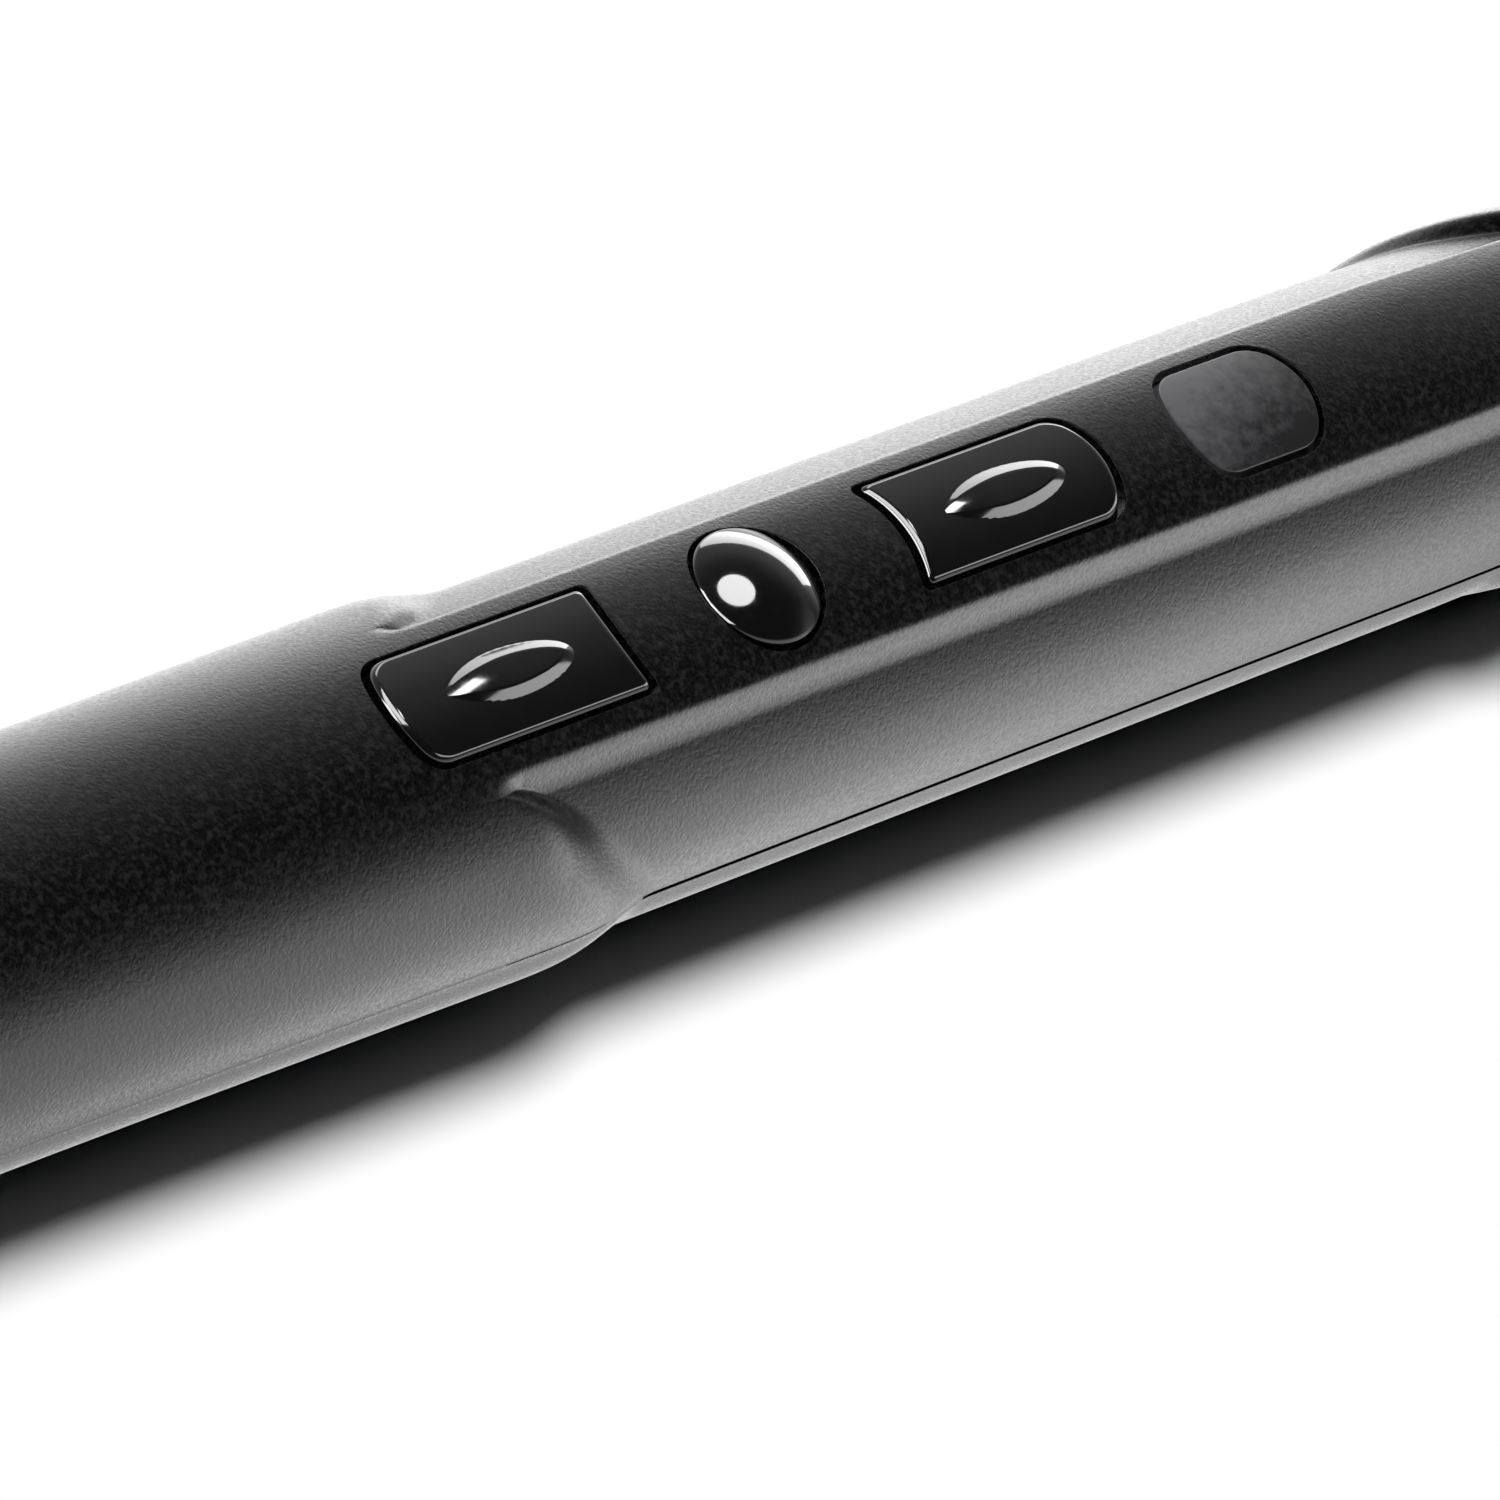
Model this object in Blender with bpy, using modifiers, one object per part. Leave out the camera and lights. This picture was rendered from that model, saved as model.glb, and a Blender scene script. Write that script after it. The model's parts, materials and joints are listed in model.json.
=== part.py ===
"""Slim hand-held body scanner: a round two-half wand with a scooped grip, thumb keys and a battery cap.

Metres, +Z up. +X runs from the sensing nose to the battery cap, and +Z points out of the key panel.
The origin is on the resting face, under the middle of the wand. Stations along the wand are measured
from the dome key, and heights from the wand's axis, so both are shifted when a piece is placed.
"""
import math

import bmesh
import bpy
from mathutils import Vector

# Overall form
TUBE_RADIUS = 0.0150
WALL = 0.0014
NOSE_END = -0.2830
NOSE_ROUND = 0.0250
BUTT_END = 0.1370
BUTT_ROUND = 0.0660
ROUND_POWER = 2.5
REST_FLAT = -0.0141
SEAM_GAP = 0.0003
CLEARANCE = 0.0003

# Where the dome key and the wand's axis lie in the part's frame
DOME_STATION = -(NOSE_END + BUTT_END) / 2
AXIS_HEIGHT = -REST_FLAT

# Key panel and scooped grip
PANEL_HALF = 0.00702
WALL_FOOT_ANGLE = 54.3
SCOOP_DEPTH = 0.0015
SIDE_FADE = 0.0000094
LOW_FADE = 0.0000085
LOW_FADE_ANGLE = -30.0
SCOOP_MIDDLE = 0.0345
WAIST_MARGIN = 0.0040

# Steps at the ends of the scoop: angles are in degrees up from the wand's side
STEP_NOSE_TOP = -0.0303
STEP_TOP_ANGLE = 57.0
STEP_SIDE_ANGLE = 5.0
STEP_RUN = 0.0170
STEP_POWER = 0.75
STEP_LENGTH = 0.0060
STEP_SIDE_LENGTH = 0.0065
STEP_LONG_ANGLE = 22.0
STEP_LONG_SWING = 45.0
STEP_PLACES = (0.0, 0.5, 0.7, 0.85, 1.0)
TAIL_SLANT = 1.05
GRIP_RUN_OUT = 0.0110

# Swelling of the tube ahead of the grip
FLARE_START = -0.0715
FLARE_SLOPE = 0.0107
FLARE_TOP_ANGLE = 50.0
FLARE_TOP_SWING = 60.0
FLARE_LOW_ANGLE = -70.0
FLARE_LOW_SWING = 35.0

# Keys and window, drawn in plan on the panel
KEY_GAP = 0.00035
KEY_TRAVEL = 0.0008
KEY_TOP_RADIUS = 0.0152
KEY_FOOT = 0.0109
KEY_HALF = 0.00480
KEY_INNER_ARC = 0.01545
KEY_OUTER_END = 0.03755
KEY_OUTER_ARC = 0.00815
KEY_CORNER = 0.00255
KEY_STATION = 0.0265
LEAF_HALF_LENGTH = 0.0067
LEAF_HALF_WIDTH = 0.0020
LEAF_SLOPE = 0.00077
LEAF_HEIGHT = 0.0004
OPENING_DEPTH = 0.0040
DOME_RADIUS = 0.00535
DOME_BALL = 0.0090
DOME_TOP = 0.0163
WINDOW_STATION = 0.0534
WINDOW_GAP = 0.0005
WINDOW_HALF_LENGTH = 0.0071
WINDOW_HALF_WIDTH = 0.0049
WINDOW_END_ARC = 0.0068
WINDOW_CORNER = 0.0032
WINDOW_TOP_RADIUS = 0.01495
FLANGE_RADIUS = 0.0132
FLANGE_HALF = 0.00535
FLANGE_REACH = 0.0010

# Board, switches and alarm parts
BOARD_TOP = 0.0060
BOARD_THICK = 0.0010
BOARD_HALF_WIDTH = 0.0058
BOARD_NOSE = -0.0410
BOARD_TAIL = 0.0580
CHIPS = {
    "processor": (0.0080, 0.0070, -0.0120),
    "driver": (0.0050, 0.0060, 0.0160),
    "regulator": (0.0060, 0.0060, 0.0360),
}
SWITCH_SIDE = 0.0060
SWITCH_TOP = 0.0098
PLUNGER_RADIUS = 0.0016
PLUNGER_LENGTH = 0.0020
LED_RADIUS = 0.0025
LED_HEIGHT = 0.0045
LED_SETBACK = 0.0015
POST_RADIUS = 0.0015
POST_STATIONS = (-0.0340, 0.0490)
POST_SIDE = 0.0042
SOUNDER_STATION = -0.0760
SOUNDER_RADIUS = 0.0062
SOUNDER_FOOT = -0.0114
SOUNDER_TOP = -0.0056
SOUNDER_STEP = 0.0008
SOUNDER_CONE = 0.0012
GRILLE_HOLE = 0.0008
GRILLE_RING = 0.0030
GRILLE_COUNT = 6
MOTOR_STATION = -0.0240
MOTOR_LENGTH = 0.0120
MOTOR_RADIUS = 0.0040
MOTOR_DROP = -0.0083
MOTOR_EDGE = 0.0008
MOTOR_BORE = 0.0030
WEIGHT_RADIUS = 0.0035
WEIGHT_LENGTH = 0.0040
SHAFT_RADIUS = 0.0006
SHAFT_IN_MOTOR = 0.0026

# Battery, cap and the threaded collar that carries it
COLLAR_START = 0.1100
COLLAR_END = 0.1185
COLLAR_RADIUS = 0.0099
SEAL_THICK = 0.0010
SEAL_INNER = 0.0103
SEAL_INSET = 0.0002
CELL_RADIUS = 0.0071
CELL_NUB_RADIUS = 0.0027
CELL_NUB = 0.0012
CELL_EDGE = 0.0005
CONTACT_PIP = 0.0005
CONTACT_THICK = 0.0007
CELL_FRONT = 0.0638
CELL_REAR = 0.1130
SLEEVE_INNER = 0.00745
SLEEVE_OUTER = 0.00795
SLEEVE_FRONT = 0.0606
SLEEVE_REAR = 0.1120
CAP_CAVITY = 0.0055
CAP_CAVITY_START = 0.1195
CAP_FLOOR = 0.1260
SPRING_RADIUS = 0.0040
SPRING_WIRE = 0.00045
SPRING_TURNS = 5
SLOT_WIDTH = 0.0022
SLOT_DEPTH = 0.0030
RIB_INNER = 0.0083
RIB_THICK = 0.0016
RIBS = ((0.0700, 0.0130), (0.1065, 0.0129))

# Coils in the sensing tube and the screws that close it
COIL_STARTS = {"front": -0.2580, "rear": -0.1780}
COIL_LENGTH = 0.0640
BOBBIN_FLANGE = 0.0121
BOBBIN_FLANGE_THICK = 0.0020
BOBBIN_CORE = 0.0075
BOBBIN_BORE = 0.0060
COIL_RADIUS = 0.0106
SCREW_STATIONS = (-0.2660, -0.1860, -0.1060, -0.0460)
SCREW_SHANK = 0.0010
SCREW_HEAD = 0.0023
SCREW_HEAD_THICK = 0.0016
SCREW_TIP = 0.0070
SCREW_POINT = 0.0010
SCREW_HEAD_EDGE = 0.0005
BOSS_RADIUS = 0.0032
PILOT_RADIUS = 0.0013
HEAD_BORE = 0.0026
HEAD_SEAT = -0.0090

# Facets
ROUND_SIDES = 32
SMALL_SIDES = 16
BORE_SIDES = 24


def clear_scene():
    for old in list(bpy.data.objects):
        bpy.data.objects.remove(old, do_unlink=True)


def new_collection(name):
    collection = bpy.data.collections.new(name)
    bpy.context.scene.collection.children.link(collection)
    return collection


def place(station, side=0.0, height=0.0):
    return Vector((DOME_STATION + station, side, AXIS_HEIGHT + height))


def finish(obj, colour, roughness, metallic=0.0):
    material = bpy.data.materials.new(obj.name + "_finish")
    material.use_nodes = True
    shader = material.node_tree.nodes["Principled BSDF"]
    shader.inputs["Base Color"].default_value = (*colour, 1.0)
    shader.inputs["Roughness"].default_value = roughness
    shader.inputs["Metallic"].default_value = metallic
    obj.data.materials.clear()
    obj.data.materials.append(material)
    return obj


def add_object(name, mesh, location=(0.0, 0.0, 0.0), collection=None):
    obj = bpy.data.objects.new(name, mesh)
    obj.location = location
    (collection or parts).objects.link(obj)
    if collection is cutters:
        obj.hide_render = True
        obj.display_type = "WIRE"
    return obj


def mesh_from(bm, name):
    bmesh.ops.recalc_face_normals(bm, faces=bm.faces)
    mesh = bpy.data.meshes.new(name)
    bm.to_mesh(mesh)
    bm.free()
    return mesh


def box(name, size, location, collection=None):
    bm = bmesh.new()
    bmesh.ops.create_cube(bm, size=1.0)
    bmesh.ops.scale(bm, vec=size, verts=bm.verts)
    return add_object(name, mesh_from(bm, name), location, collection)


def cylinder(name, radius, low, high, station, side=0.0, sides=SMALL_SIDES, collection=None):
    """Upright round bar between two heights."""
    bm = bmesh.new()
    bmesh.ops.create_cone(bm, cap_ends=True, segments=sides, radius1=radius, radius2=radius,
                          depth=high - low)
    return add_object(name, mesh_from(bm, name), place(station, side, (low + high) / 2), collection)


def turned(name, profile, station=0.0, height=0.0, closed=False, sides=ROUND_SIDES, collection=None):
    """Revolve (radius, station) points round a line along X; the profile runs from the tail end."""
    mesh = bpy.data.meshes.new(name)
    points = [(radius, 0.0, along) for radius, along in profile]
    edges = [(i, i + 1) for i in range(len(points) - 1)]
    if closed:
        edges.append((len(points) - 1, 0))
    mesh.from_pydata(points, edges, [])
    obj = add_object(name, mesh, place(station, 0.0, height), collection)
    obj.rotation_euler = (0.0, math.pi / 2, 0.0)
    screw = obj.modifiers.new("turn", "SCREW")
    screw.steps = sides
    screw.render_steps = sides
    screw.use_merge_vertices = True
    screw.merge_threshold = 0.00001
    screw.use_smooth_shade = True
    return obj


def ring(name, inner, outer, start, end, sides=ROUND_SIDES, collection=None):
    """Square-cut ring or tube along the wand."""
    profile = [(inner, end), (outer, end), (outer, start), (inner, start)]
    return turned(name, profile, closed=True, sides=sides, collection=collection)


def as_mesh(obj):
    """Swap a curve or a modified object for a plain mesh of the same shape."""
    bpy.context.view_layer.update()
    graph = bpy.context.evaluated_depsgraph_get()
    mesh = bpy.data.meshes.new_from_object(obj.evaluated_get(graph))
    bm = bmesh.new()
    bm.from_mesh(mesh)
    bmesh.ops.remove_doubles(bm, verts=bm.verts, dist=0.000001)
    bm.to_mesh(mesh)
    bm.free()
    name = obj.name
    matrix = obj.matrix_world.copy()
    collection = obj.users_collection[0]
    bpy.data.objects.remove(obj, do_unlink=True)
    solid = add_object(name, mesh, collection=collection)
    solid.matrix_world = matrix
    return solid


def plate(name, outline, low, high, station=0.0, collection=None):
    """Flat outline drawn in plan, filled and given its height."""
    curve = bpy.data.curves.new(name, "CURVE")
    curve.dimensions = "2D"
    curve.fill_mode = "BOTH"
    curve.extrude = (high - low) / 2
    spline = curve.splines.new("POLY")
    spline.points.add(len(outline) - 1)
    for point, (x, y) in zip(spline.points, outline):
        point.co = (x, y, 0.0, 1.0)
    spline.use_cyclic_u = True
    return as_mesh(add_object(name, curve, place(station, 0.0, (low + high) / 2), collection))


def boolean(obj, tool, operation):
    step = obj.modifiers.new(operation.lower() + "_" + tool.name, "BOOLEAN")
    step.solver = "EXACT"
    step.operation = operation
    step.object = tool


def arc(centre_x, centre_y, radius, start, end, count):
    """Points along an arc, angles in radians, both ends included."""
    steps = [start + (end - start) * i / count for i in range(count + 1)]
    return [(centre_x + radius * math.cos(a), centre_y + radius * math.sin(a)) for a in steps]


def smooth_step(value):
    value = min(1.0, max(0.0, value))
    return value * value * (3.0 - 2.0 * value)


# Body form: the whole tube as one surface, before it is thickened and split

def tube_radius(station):
    """Radius of the round tube, drawn in to a rounded nose and a rounded butt."""
    nose_start = NOSE_END + NOSE_ROUND
    butt_start = BUTT_END - BUTT_ROUND
    if station < nose_start:
        reach = (nose_start - station) / NOSE_ROUND
    elif station > butt_start:
        reach = (station - butt_start) / BUTT_ROUND
    else:
        return TUBE_RADIUS
    reach = min(1.0, reach)
    return TUBE_RADIUS * (1.0 - reach ** ROUND_POWER) ** (1.0 / ROUND_POWER)


def section_angles():
    """Angles of one side of a section, in degrees from the top of the panel to the rest flat."""
    edge = math.degrees(math.acos(PANEL_HALF / TUBE_RADIUS))
    flat = math.degrees(math.asin(REST_FLAT / TUBE_RADIUS))
    panel = [90.0 + (edge - 90.0) * i / 4 for i in range(5)]
    side = [WALL_FOOT_ANGLE + (flat - WALL_FOOT_ANGLE) * i / 13 for i in range(14)]
    return panel + side


def step_slant(angle):
    """How far down its slant a step is: 0 at the panel's edge, 1 at the side of the wand."""
    down = (STEP_TOP_ANGLE - angle) / (STEP_TOP_ANGLE - STEP_SIDE_ANGLE)
    return min(1.0, max(0.0, down)) ** STEP_POWER


def step_foot(angle):
    """Station where the scoop's nose-end step meets the waist: it slants tailwards down the side."""
    return STEP_NOSE_TOP + STEP_RUN * step_slant(angle)


def tail_foot(angle):
    """The same at the tail end, which stands upright down the side, then slants back to the panel."""
    side = 2 * SCOOP_MIDDLE - STEP_NOSE_TOP - STEP_RUN
    return side + STEP_RUN * (1.0 - step_slant(angle)) * TAIL_SLANT


def step_length(angle):
    """Length of a step along the wand: short under the panel's edge and long down the side."""
    return STEP_LENGTH + STEP_SIDE_LENGTH * smooth_step((STEP_LONG_ANGLE - angle) / STEP_LONG_SWING)


def scoop_depth(angle):
    """Full depth of the scoop: deepest under the panel's edge and gone before the rest flat."""
    if angle > WALL_FOOT_ANGLE:
        return 0.0
    depth = SCOOP_DEPTH - SIDE_FADE * (WALL_FOOT_ANGLE - angle)
    return max(0.0, depth - LOW_FADE * max(0.0, LOW_FADE_ANGLE - angle))


def flare(station, angle):
    """Swelling of the tube just ahead of the grip, below its key panel."""
    if station > SCOOP_MIDDLE:
        return 0.0
    top = smooth_step((FLARE_TOP_ANGLE - angle) / FLARE_TOP_SWING)
    low = smooth_step((angle - FLARE_LOW_ANGLE) / FLARE_LOW_SWING)
    return FLARE_SLOPE * max(0.0, station - FLARE_START) * top * low


def body_rows():
    """Rows of the surface from nose to collar, each giving a station and a scoop share by angle."""
    rows = []

    def straight(station, share=0.0):
        rows.append(lambda angle: (station, share))

    def nose_step(along):
        share = smooth_step(along ** 2)
        rows.append(lambda angle: (step_foot(angle) - step_length(angle) * (1.0 - along), share))

    def tail_step(along):
        share = smooth_step(along ** 2)
        rows.append(lambda angle: (tail_foot(angle) + step_length(angle) * (1.0 - along), share))

    for reach in (0.98, 0.9, 0.7, 0.4, 0.0):
        straight(NOSE_END + NOSE_ROUND * (1.0 - reach))
    straight(FLARE_START)
    straight(STEP_NOSE_TOP - GRIP_RUN_OUT)
    for along in STEP_PLACES:
        nose_step(along)
    straight(-WAIST_MARGIN, 1.0)
    straight(2 * SCOOP_MIDDLE + WAIST_MARGIN, 1.0)
    for along in reversed(STEP_PLACES):
        tail_step(along)
    rows.append(lambda angle: ((tail_foot(angle) + step_length(angle) + COLLAR_START) / 2, 0.0))
    straight(COLLAR_START)
    return rows


def make_body_form():
    """Loft the outer surface through its sections, step it in to the collar and thicken it inwards."""
    half = section_angles()
    columns = [(angle, 1.0) for angle in half] + [(angle, -1.0) for angle in half[:0:-1]]
    bm = bmesh.new()
    rings = []
    for row in body_rows():
        loop = []
        for angle, side in columns:
            station, share = row(angle)
            radius = tube_radius(station) - share * scoop_depth(angle) + (1.0 - share) * flare(station, angle)
            across = radius * math.cos(math.radians(angle)) * side
            loop.append(bm.verts.new((station, across, radius * math.sin(math.radians(angle)))))
        rings.append(loop)
    for station in (COLLAR_START, COLLAR_END):
        loop = []
        for angle, side in columns:
            turn = math.radians(angle)
            across = COLLAR_RADIUS * math.cos(turn) * side
            loop.append(bm.verts.new((station, across, COLLAR_RADIUS * math.sin(turn))))
        rings.append(loop)
    tip = bm.verts.new((NOSE_END, 0.0, 0.0))
    count = len(columns)
    for i in range(count):
        j = (i + 1) % count
        bm.faces.new((tip, rings[0][i], rings[0][j]))
        for front, back in zip(rings, rings[1:]):
            bm.faces.new((front[i], back[i], back[j], front[j]))
    form = add_object("body_form", mesh_from(bm, "body_form"), place(0.0), cutters)
    shell = form.modifiers.new("wall", "SOLIDIFY")
    shell.thickness = WALL
    shell.offset = -1.0
    shell.use_even_offset = True
    return as_mesh(form)


# Outlines in plan

def key_outline(grow=0.0, half=None, reach=0.0):
    """Tail key: straight sides, an inner edge struck from the dome's centre and a full outer end."""
    half = half or KEY_HALF + grow
    inner = KEY_INNER_ARC - grow - reach
    outer_end = KEY_OUTER_END + grow + reach
    outer = KEY_OUTER_ARC + grow
    corner = KEY_CORNER + grow
    centre = outer_end - outer
    corner_y = half - corner
    corner_x = centre + math.sqrt((outer - corner) ** 2 - corner_y ** 2)
    turn = math.atan2(corner_y, corner_x - centre)
    swing = math.asin(half / inner)
    points = arc(0.0, 0.0, inner, swing, -swing, 6)
    points += arc(corner_x, -corner_y, corner, -math.pi / 2, -turn, 3)
    points += arc(centre, 0.0, outer, -turn, turn, 6)[1:]
    points += arc(corner_x, corner_y, corner, turn, math.pi / 2, 3)[1:]
    return points


def window_outline(grow=0.0, half=None, reach=0.0):
    """Window: straight sides and full round ends, about its own middle."""
    half = half or WINDOW_HALF_WIDTH + grow
    outer = WINDOW_END_ARC + grow
    corner = WINDOW_CORNER + grow
    centre = WINDOW_HALF_LENGTH + grow + reach - outer
    corner_y = half - corner
    corner_x = centre + math.sqrt((outer - corner) ** 2 - corner_y ** 2)
    turn = math.atan2(corner_y, corner_x - centre)
    end = arc(corner_x, -corner_y, corner, -math.pi / 2, -turn, 3)
    end += arc(centre, 0.0, outer, -turn, turn, 6)[1:]
    end += arc(corner_x, corner_y, corner, turn, math.pi / 2, 3)[1:]
    return end + [(-x, -y) for x, y in end]


def circle_outline(radius):
    return arc(0.0, 0.0, radius, 0.0, 2 * math.pi, ROUND_SIDES)[:-1]


def flat_sided_circle(radius, half):
    """Circle cut off by two straight sides."""
    swing = math.asin(half / radius)
    end = arc(0.0, 0.0, radius, -swing, swing, ROUND_SIDES // 4)
    return end + [(-x, -y) for x, y in end]


def flipped(outline):
    return [(-x, y) for x, y in outline]


def leaf_outline(inset, count=8):
    """Pointed leaf between two arcs, drawn in by the inset, about its own middle."""
    bow = (LEAF_HALF_LENGTH ** 2 + LEAF_HALF_WIDTH ** 2) / (2 * LEAF_HALF_WIDTH)
    centre = bow - LEAF_HALF_WIDTH
    radius = bow - inset
    swing = math.acos(centre / radius)
    up = math.pi / 2
    upper = arc(0.0, -centre, radius, up + swing, up - swing, count)
    return upper + [(x, -y) for x, y in reversed(upper[1:-1])]


# Housing

def make_shells(form):
    """Split the thickened tube at its mid-plane, then add bosses, ribs and openings to each half."""
    length = BUTT_END - NOSE_END
    depth = TUBE_RADIUS * 2
    middle = (NOSE_END + BUTT_END) / 2
    shells = {}
    for name, side in (("upper_shell", 1.0), ("lower_shell", -1.0)):
        half = add_object(name, form.data.copy(), form.location)
        centre = place(middle, 0.0, side * (SEAM_GAP - depth) / 2)
        split = box(name + "_split", (length * 1.1, depth * 1.5, depth), centre, cutters)
        boolean(half, split, "DIFFERENCE")
        for i, (station, radius) in enumerate(RIBS):
            rib = as_mesh(ring(f"{name}_rib_{i}", RIB_INNER, radius, station, station + RIB_THICK,
                               collection=cutters))
            boolean(rib, split, "DIFFERENCE")
            boolean(half, rib, "UNION")
        shells[name] = half
    upper, lower = shells["upper_shell"], shells["lower_shell"]
    add_screw_bosses(upper, lower)
    for side in (-1.0, 1.0):
        for station in POST_STATIONS:
            post = cylinder(f"post_{station}_{side}", POST_RADIUS, REST_FLAT + WALL * 0.6,
                            BOARD_TOP - BOARD_THICK - CLEARANCE, station, side * POST_SIDE,
                            sides=SMALL_SIDES // 2, collection=cutters)
            boolean(lower, post, "UNION")
    cut_panel(upper)
    cut_grille(lower)
    for half in (upper, lower):
        finish(half, (0.012, 0.012, 0.013), 0.45)


def add_screw_bosses(upper, lower):
    for i, station in enumerate(SCREW_STATIONS):
        top = cylinder(f"top_boss_{i}", BOSS_RADIUS, SEAM_GAP / 2, TUBE_RADIUS - WALL * 0.7, station,
                       collection=cutters)
        foot = cylinder(f"foot_boss_{i}", BOSS_RADIUS, REST_FLAT + WALL * 0.5, -SEAM_GAP / 2, station,
                        collection=cutters)
        pilot = cylinder(f"pilot_{i}", PILOT_RADIUS, -TUBE_RADIUS, SCREW_TIP + CLEARANCE, station,
                         collection=cutters)
        head = cylinder(f"head_bore_{i}", HEAD_BORE, -TUBE_RADIUS * 1.1, HEAD_SEAT, station,
                        collection=cutters)
        boolean(upper, top, "UNION")
        boolean(upper, pilot, "DIFFERENCE")
        boolean(lower, foot, "UNION")
        boolean(lower, pilot, "DIFFERENCE")
        boolean(lower, head, "DIFFERENCE")


def cut_panel(upper):
    """Openings for the three keys and the window, square to the panel."""
    tall = TUBE_RADIUS * 1.3
    openings = {
        "dome_opening": (circle_outline(DOME_RADIUS + KEY_GAP), 0.0),
        "tail_opening": (key_outline(KEY_GAP), 0.0),
        "nose_opening": (flipped(key_outline(KEY_GAP)), 0.0),
        "window_opening": (window_outline(WINDOW_GAP), WINDOW_STATION),
    }
    for name, (outline, station) in openings.items():
        boolean(upper, plate(name, outline, KEY_FOOT - OPENING_DEPTH, tall, station, cutters), "DIFFERENCE")


def cut_grille(lower):
    """Sound holes under the sounder: one in the middle and a ring round it."""
    spots = [(0.0, 0.0)] + arc(0.0, 0.0, GRILLE_RING, 0.0, 2 * math.pi, GRILLE_COUNT)[:-1]
    for i, (x, y) in enumerate(spots):
        hole = cylinder(f"grille_hole_{i}", GRILLE_HOLE, REST_FLAT - WALL, REST_FLAT + WALL * 2.5,
                        SOUNDER_STATION + x, y, sides=SMALL_SIDES // 2, collection=cutters)
        boolean(lower, hole, "DIFFERENCE")


# Keys and window

def panel_bar(name, radius):
    """Round bar along the wand whose top gives a key or a flange the panel's curve."""
    nose, tail = BOARD_NOSE * 1.2, BOARD_TAIL * 1.2
    profile = [(0.0, tail), (radius, tail), (radius, nose), (0.0, nose)]
    bar = turned(name, profile, sides=ROUND_SIDES * 2, collection=cutters)
    return as_mesh(bar)


def crowned(name, outline, top_radius, flange, station):
    """Plan outline under a curved top, with a wider flange that keeps it behind the panel."""
    cap = plate(name, outline, KEY_FOOT + CLEARANCE, TUBE_RADIUS * 1.2, station)
    boolean(cap, panel_bar(name + "_crown", top_radius), "INTERSECT")
    cap = as_mesh(cap)
    foot = plate(name + "_flange", flange, KEY_FOOT, TUBE_RADIUS, station, cutters)
    boolean(foot, panel_bar(name + "_flange_crown", FLANGE_RADIUS), "INTERSECT")
    boolean(cap, as_mesh(foot), "UNION")
    return cap


def make_keys():
    for name, turn in (("tail_key", 1.0), ("nose_key", -1.0)):
        outline = key_outline()
        flange = key_outline(half=FLANGE_HALF, reach=FLANGE_REACH)
        if turn < 0:
            outline, flange = flipped(outline), flipped(flange)
        key = crowned(name, outline, KEY_TOP_RADIUS, flange, 0.0)
        boolean(key, make_leaf(name, turn * KEY_STATION), "UNION")
        finish(as_mesh(key), (0.010, 0.010, 0.011), 0.12)
    swing = math.asin(DOME_RADIUS / DOME_BALL)
    crown = arc(0.0, DOME_TOP - DOME_BALL, DOME_BALL, math.pi / 2, math.pi / 2 - swing, 6)
    low = KEY_FOOT + CLEARANCE
    profile = crown + [(DOME_RADIUS, low), (0.0, low)]
    dome = as_mesh(turned_upright("dome_key", profile, 0.0, 0.0, ROUND_SIDES))
    flange = flat_sided_circle(DOME_RADIUS + KEY_GAP + FLANGE_REACH, FLANGE_HALF)
    foot = plate("dome_flange", flange, KEY_FOOT, TUBE_RADIUS, collection=cutters)
    boolean(foot, panel_bar("dome_flange_crown", FLANGE_RADIUS), "INTERSECT")
    boolean(dome, as_mesh(foot), "UNION")
    finish(as_mesh(dome), (0.010, 0.010, 0.011), 0.10)


def make_leaf(name, station):
    """Raised leaf on a key: sloped sides up to a small flat top."""
    bm = bmesh.new()
    levels = ((0.0, -WALL), (0.0, 0.0), (LEAF_SLOPE, LEAF_HEIGHT))
    rings = []
    for inset, height in levels:
        rings.append([bm.verts.new((x, y, height)) for x, y in leaf_outline(inset)])
    count = len(rings[0])
    bm.faces.new(reversed(rings[0]))
    bm.faces.new(rings[-1])
    for low, high in zip(rings, rings[1:]):
        for i in range(count):
            j = (i + 1) % count
            bm.faces.new((low[i], low[j], high[j], high[i]))
    seat = math.sqrt(KEY_TOP_RADIUS ** 2 - LEAF_HALF_WIDTH ** 2)
    return add_object(name + "_leaf", mesh_from(bm, name + "_leaf"), place(station, 0.0, seat), cutters)


def make_window():
    flange = window_outline(half=FLANGE_HALF, reach=FLANGE_REACH)
    window = crowned("alarm_window", window_outline(), WINDOW_TOP_RADIUS, flange, WINDOW_STATION)
    finish(as_mesh(window), (0.090, 0.090, 0.095), 0.40)


# Electronics

def make_board():
    board = box("main_board", (BOARD_TAIL - BOARD_NOSE, BOARD_HALF_WIDTH * 2, BOARD_THICK),
                place((BOARD_NOSE + BOARD_TAIL) / 2, 0.0, BOARD_TOP - BOARD_THICK / 2))
    for name, (size_x, size_y, station) in CHIPS.items():
        size = (size_x, size_y, BOARD_THICK * 2)
        chip = box(name, size, place(station, 0.0, BOARD_TOP - BOARD_THICK * 1.5), cutters)
        boolean(board, chip, "UNION")
    finish(board, (0.010, 0.080, 0.035), 0.45)
    for name, station in (("nose", -KEY_STATION), ("dome", 0.0), ("tail", KEY_STATION)):
        make_switch(name, station)
    led = turned_upright("alarm_led", [(0.0, LED_HEIGHT), (LED_RADIUS * 0.7, LED_HEIGHT * 0.85),
                                       (LED_RADIUS, LED_HEIGHT * 0.5), (LED_RADIUS, 0.0), (0.0, 0.0)],
                         WINDOW_STATION - LED_SETBACK, BOARD_TOP + CLEARANCE)
    finish(led, (0.600, 0.040, 0.030), 0.20)


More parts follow.
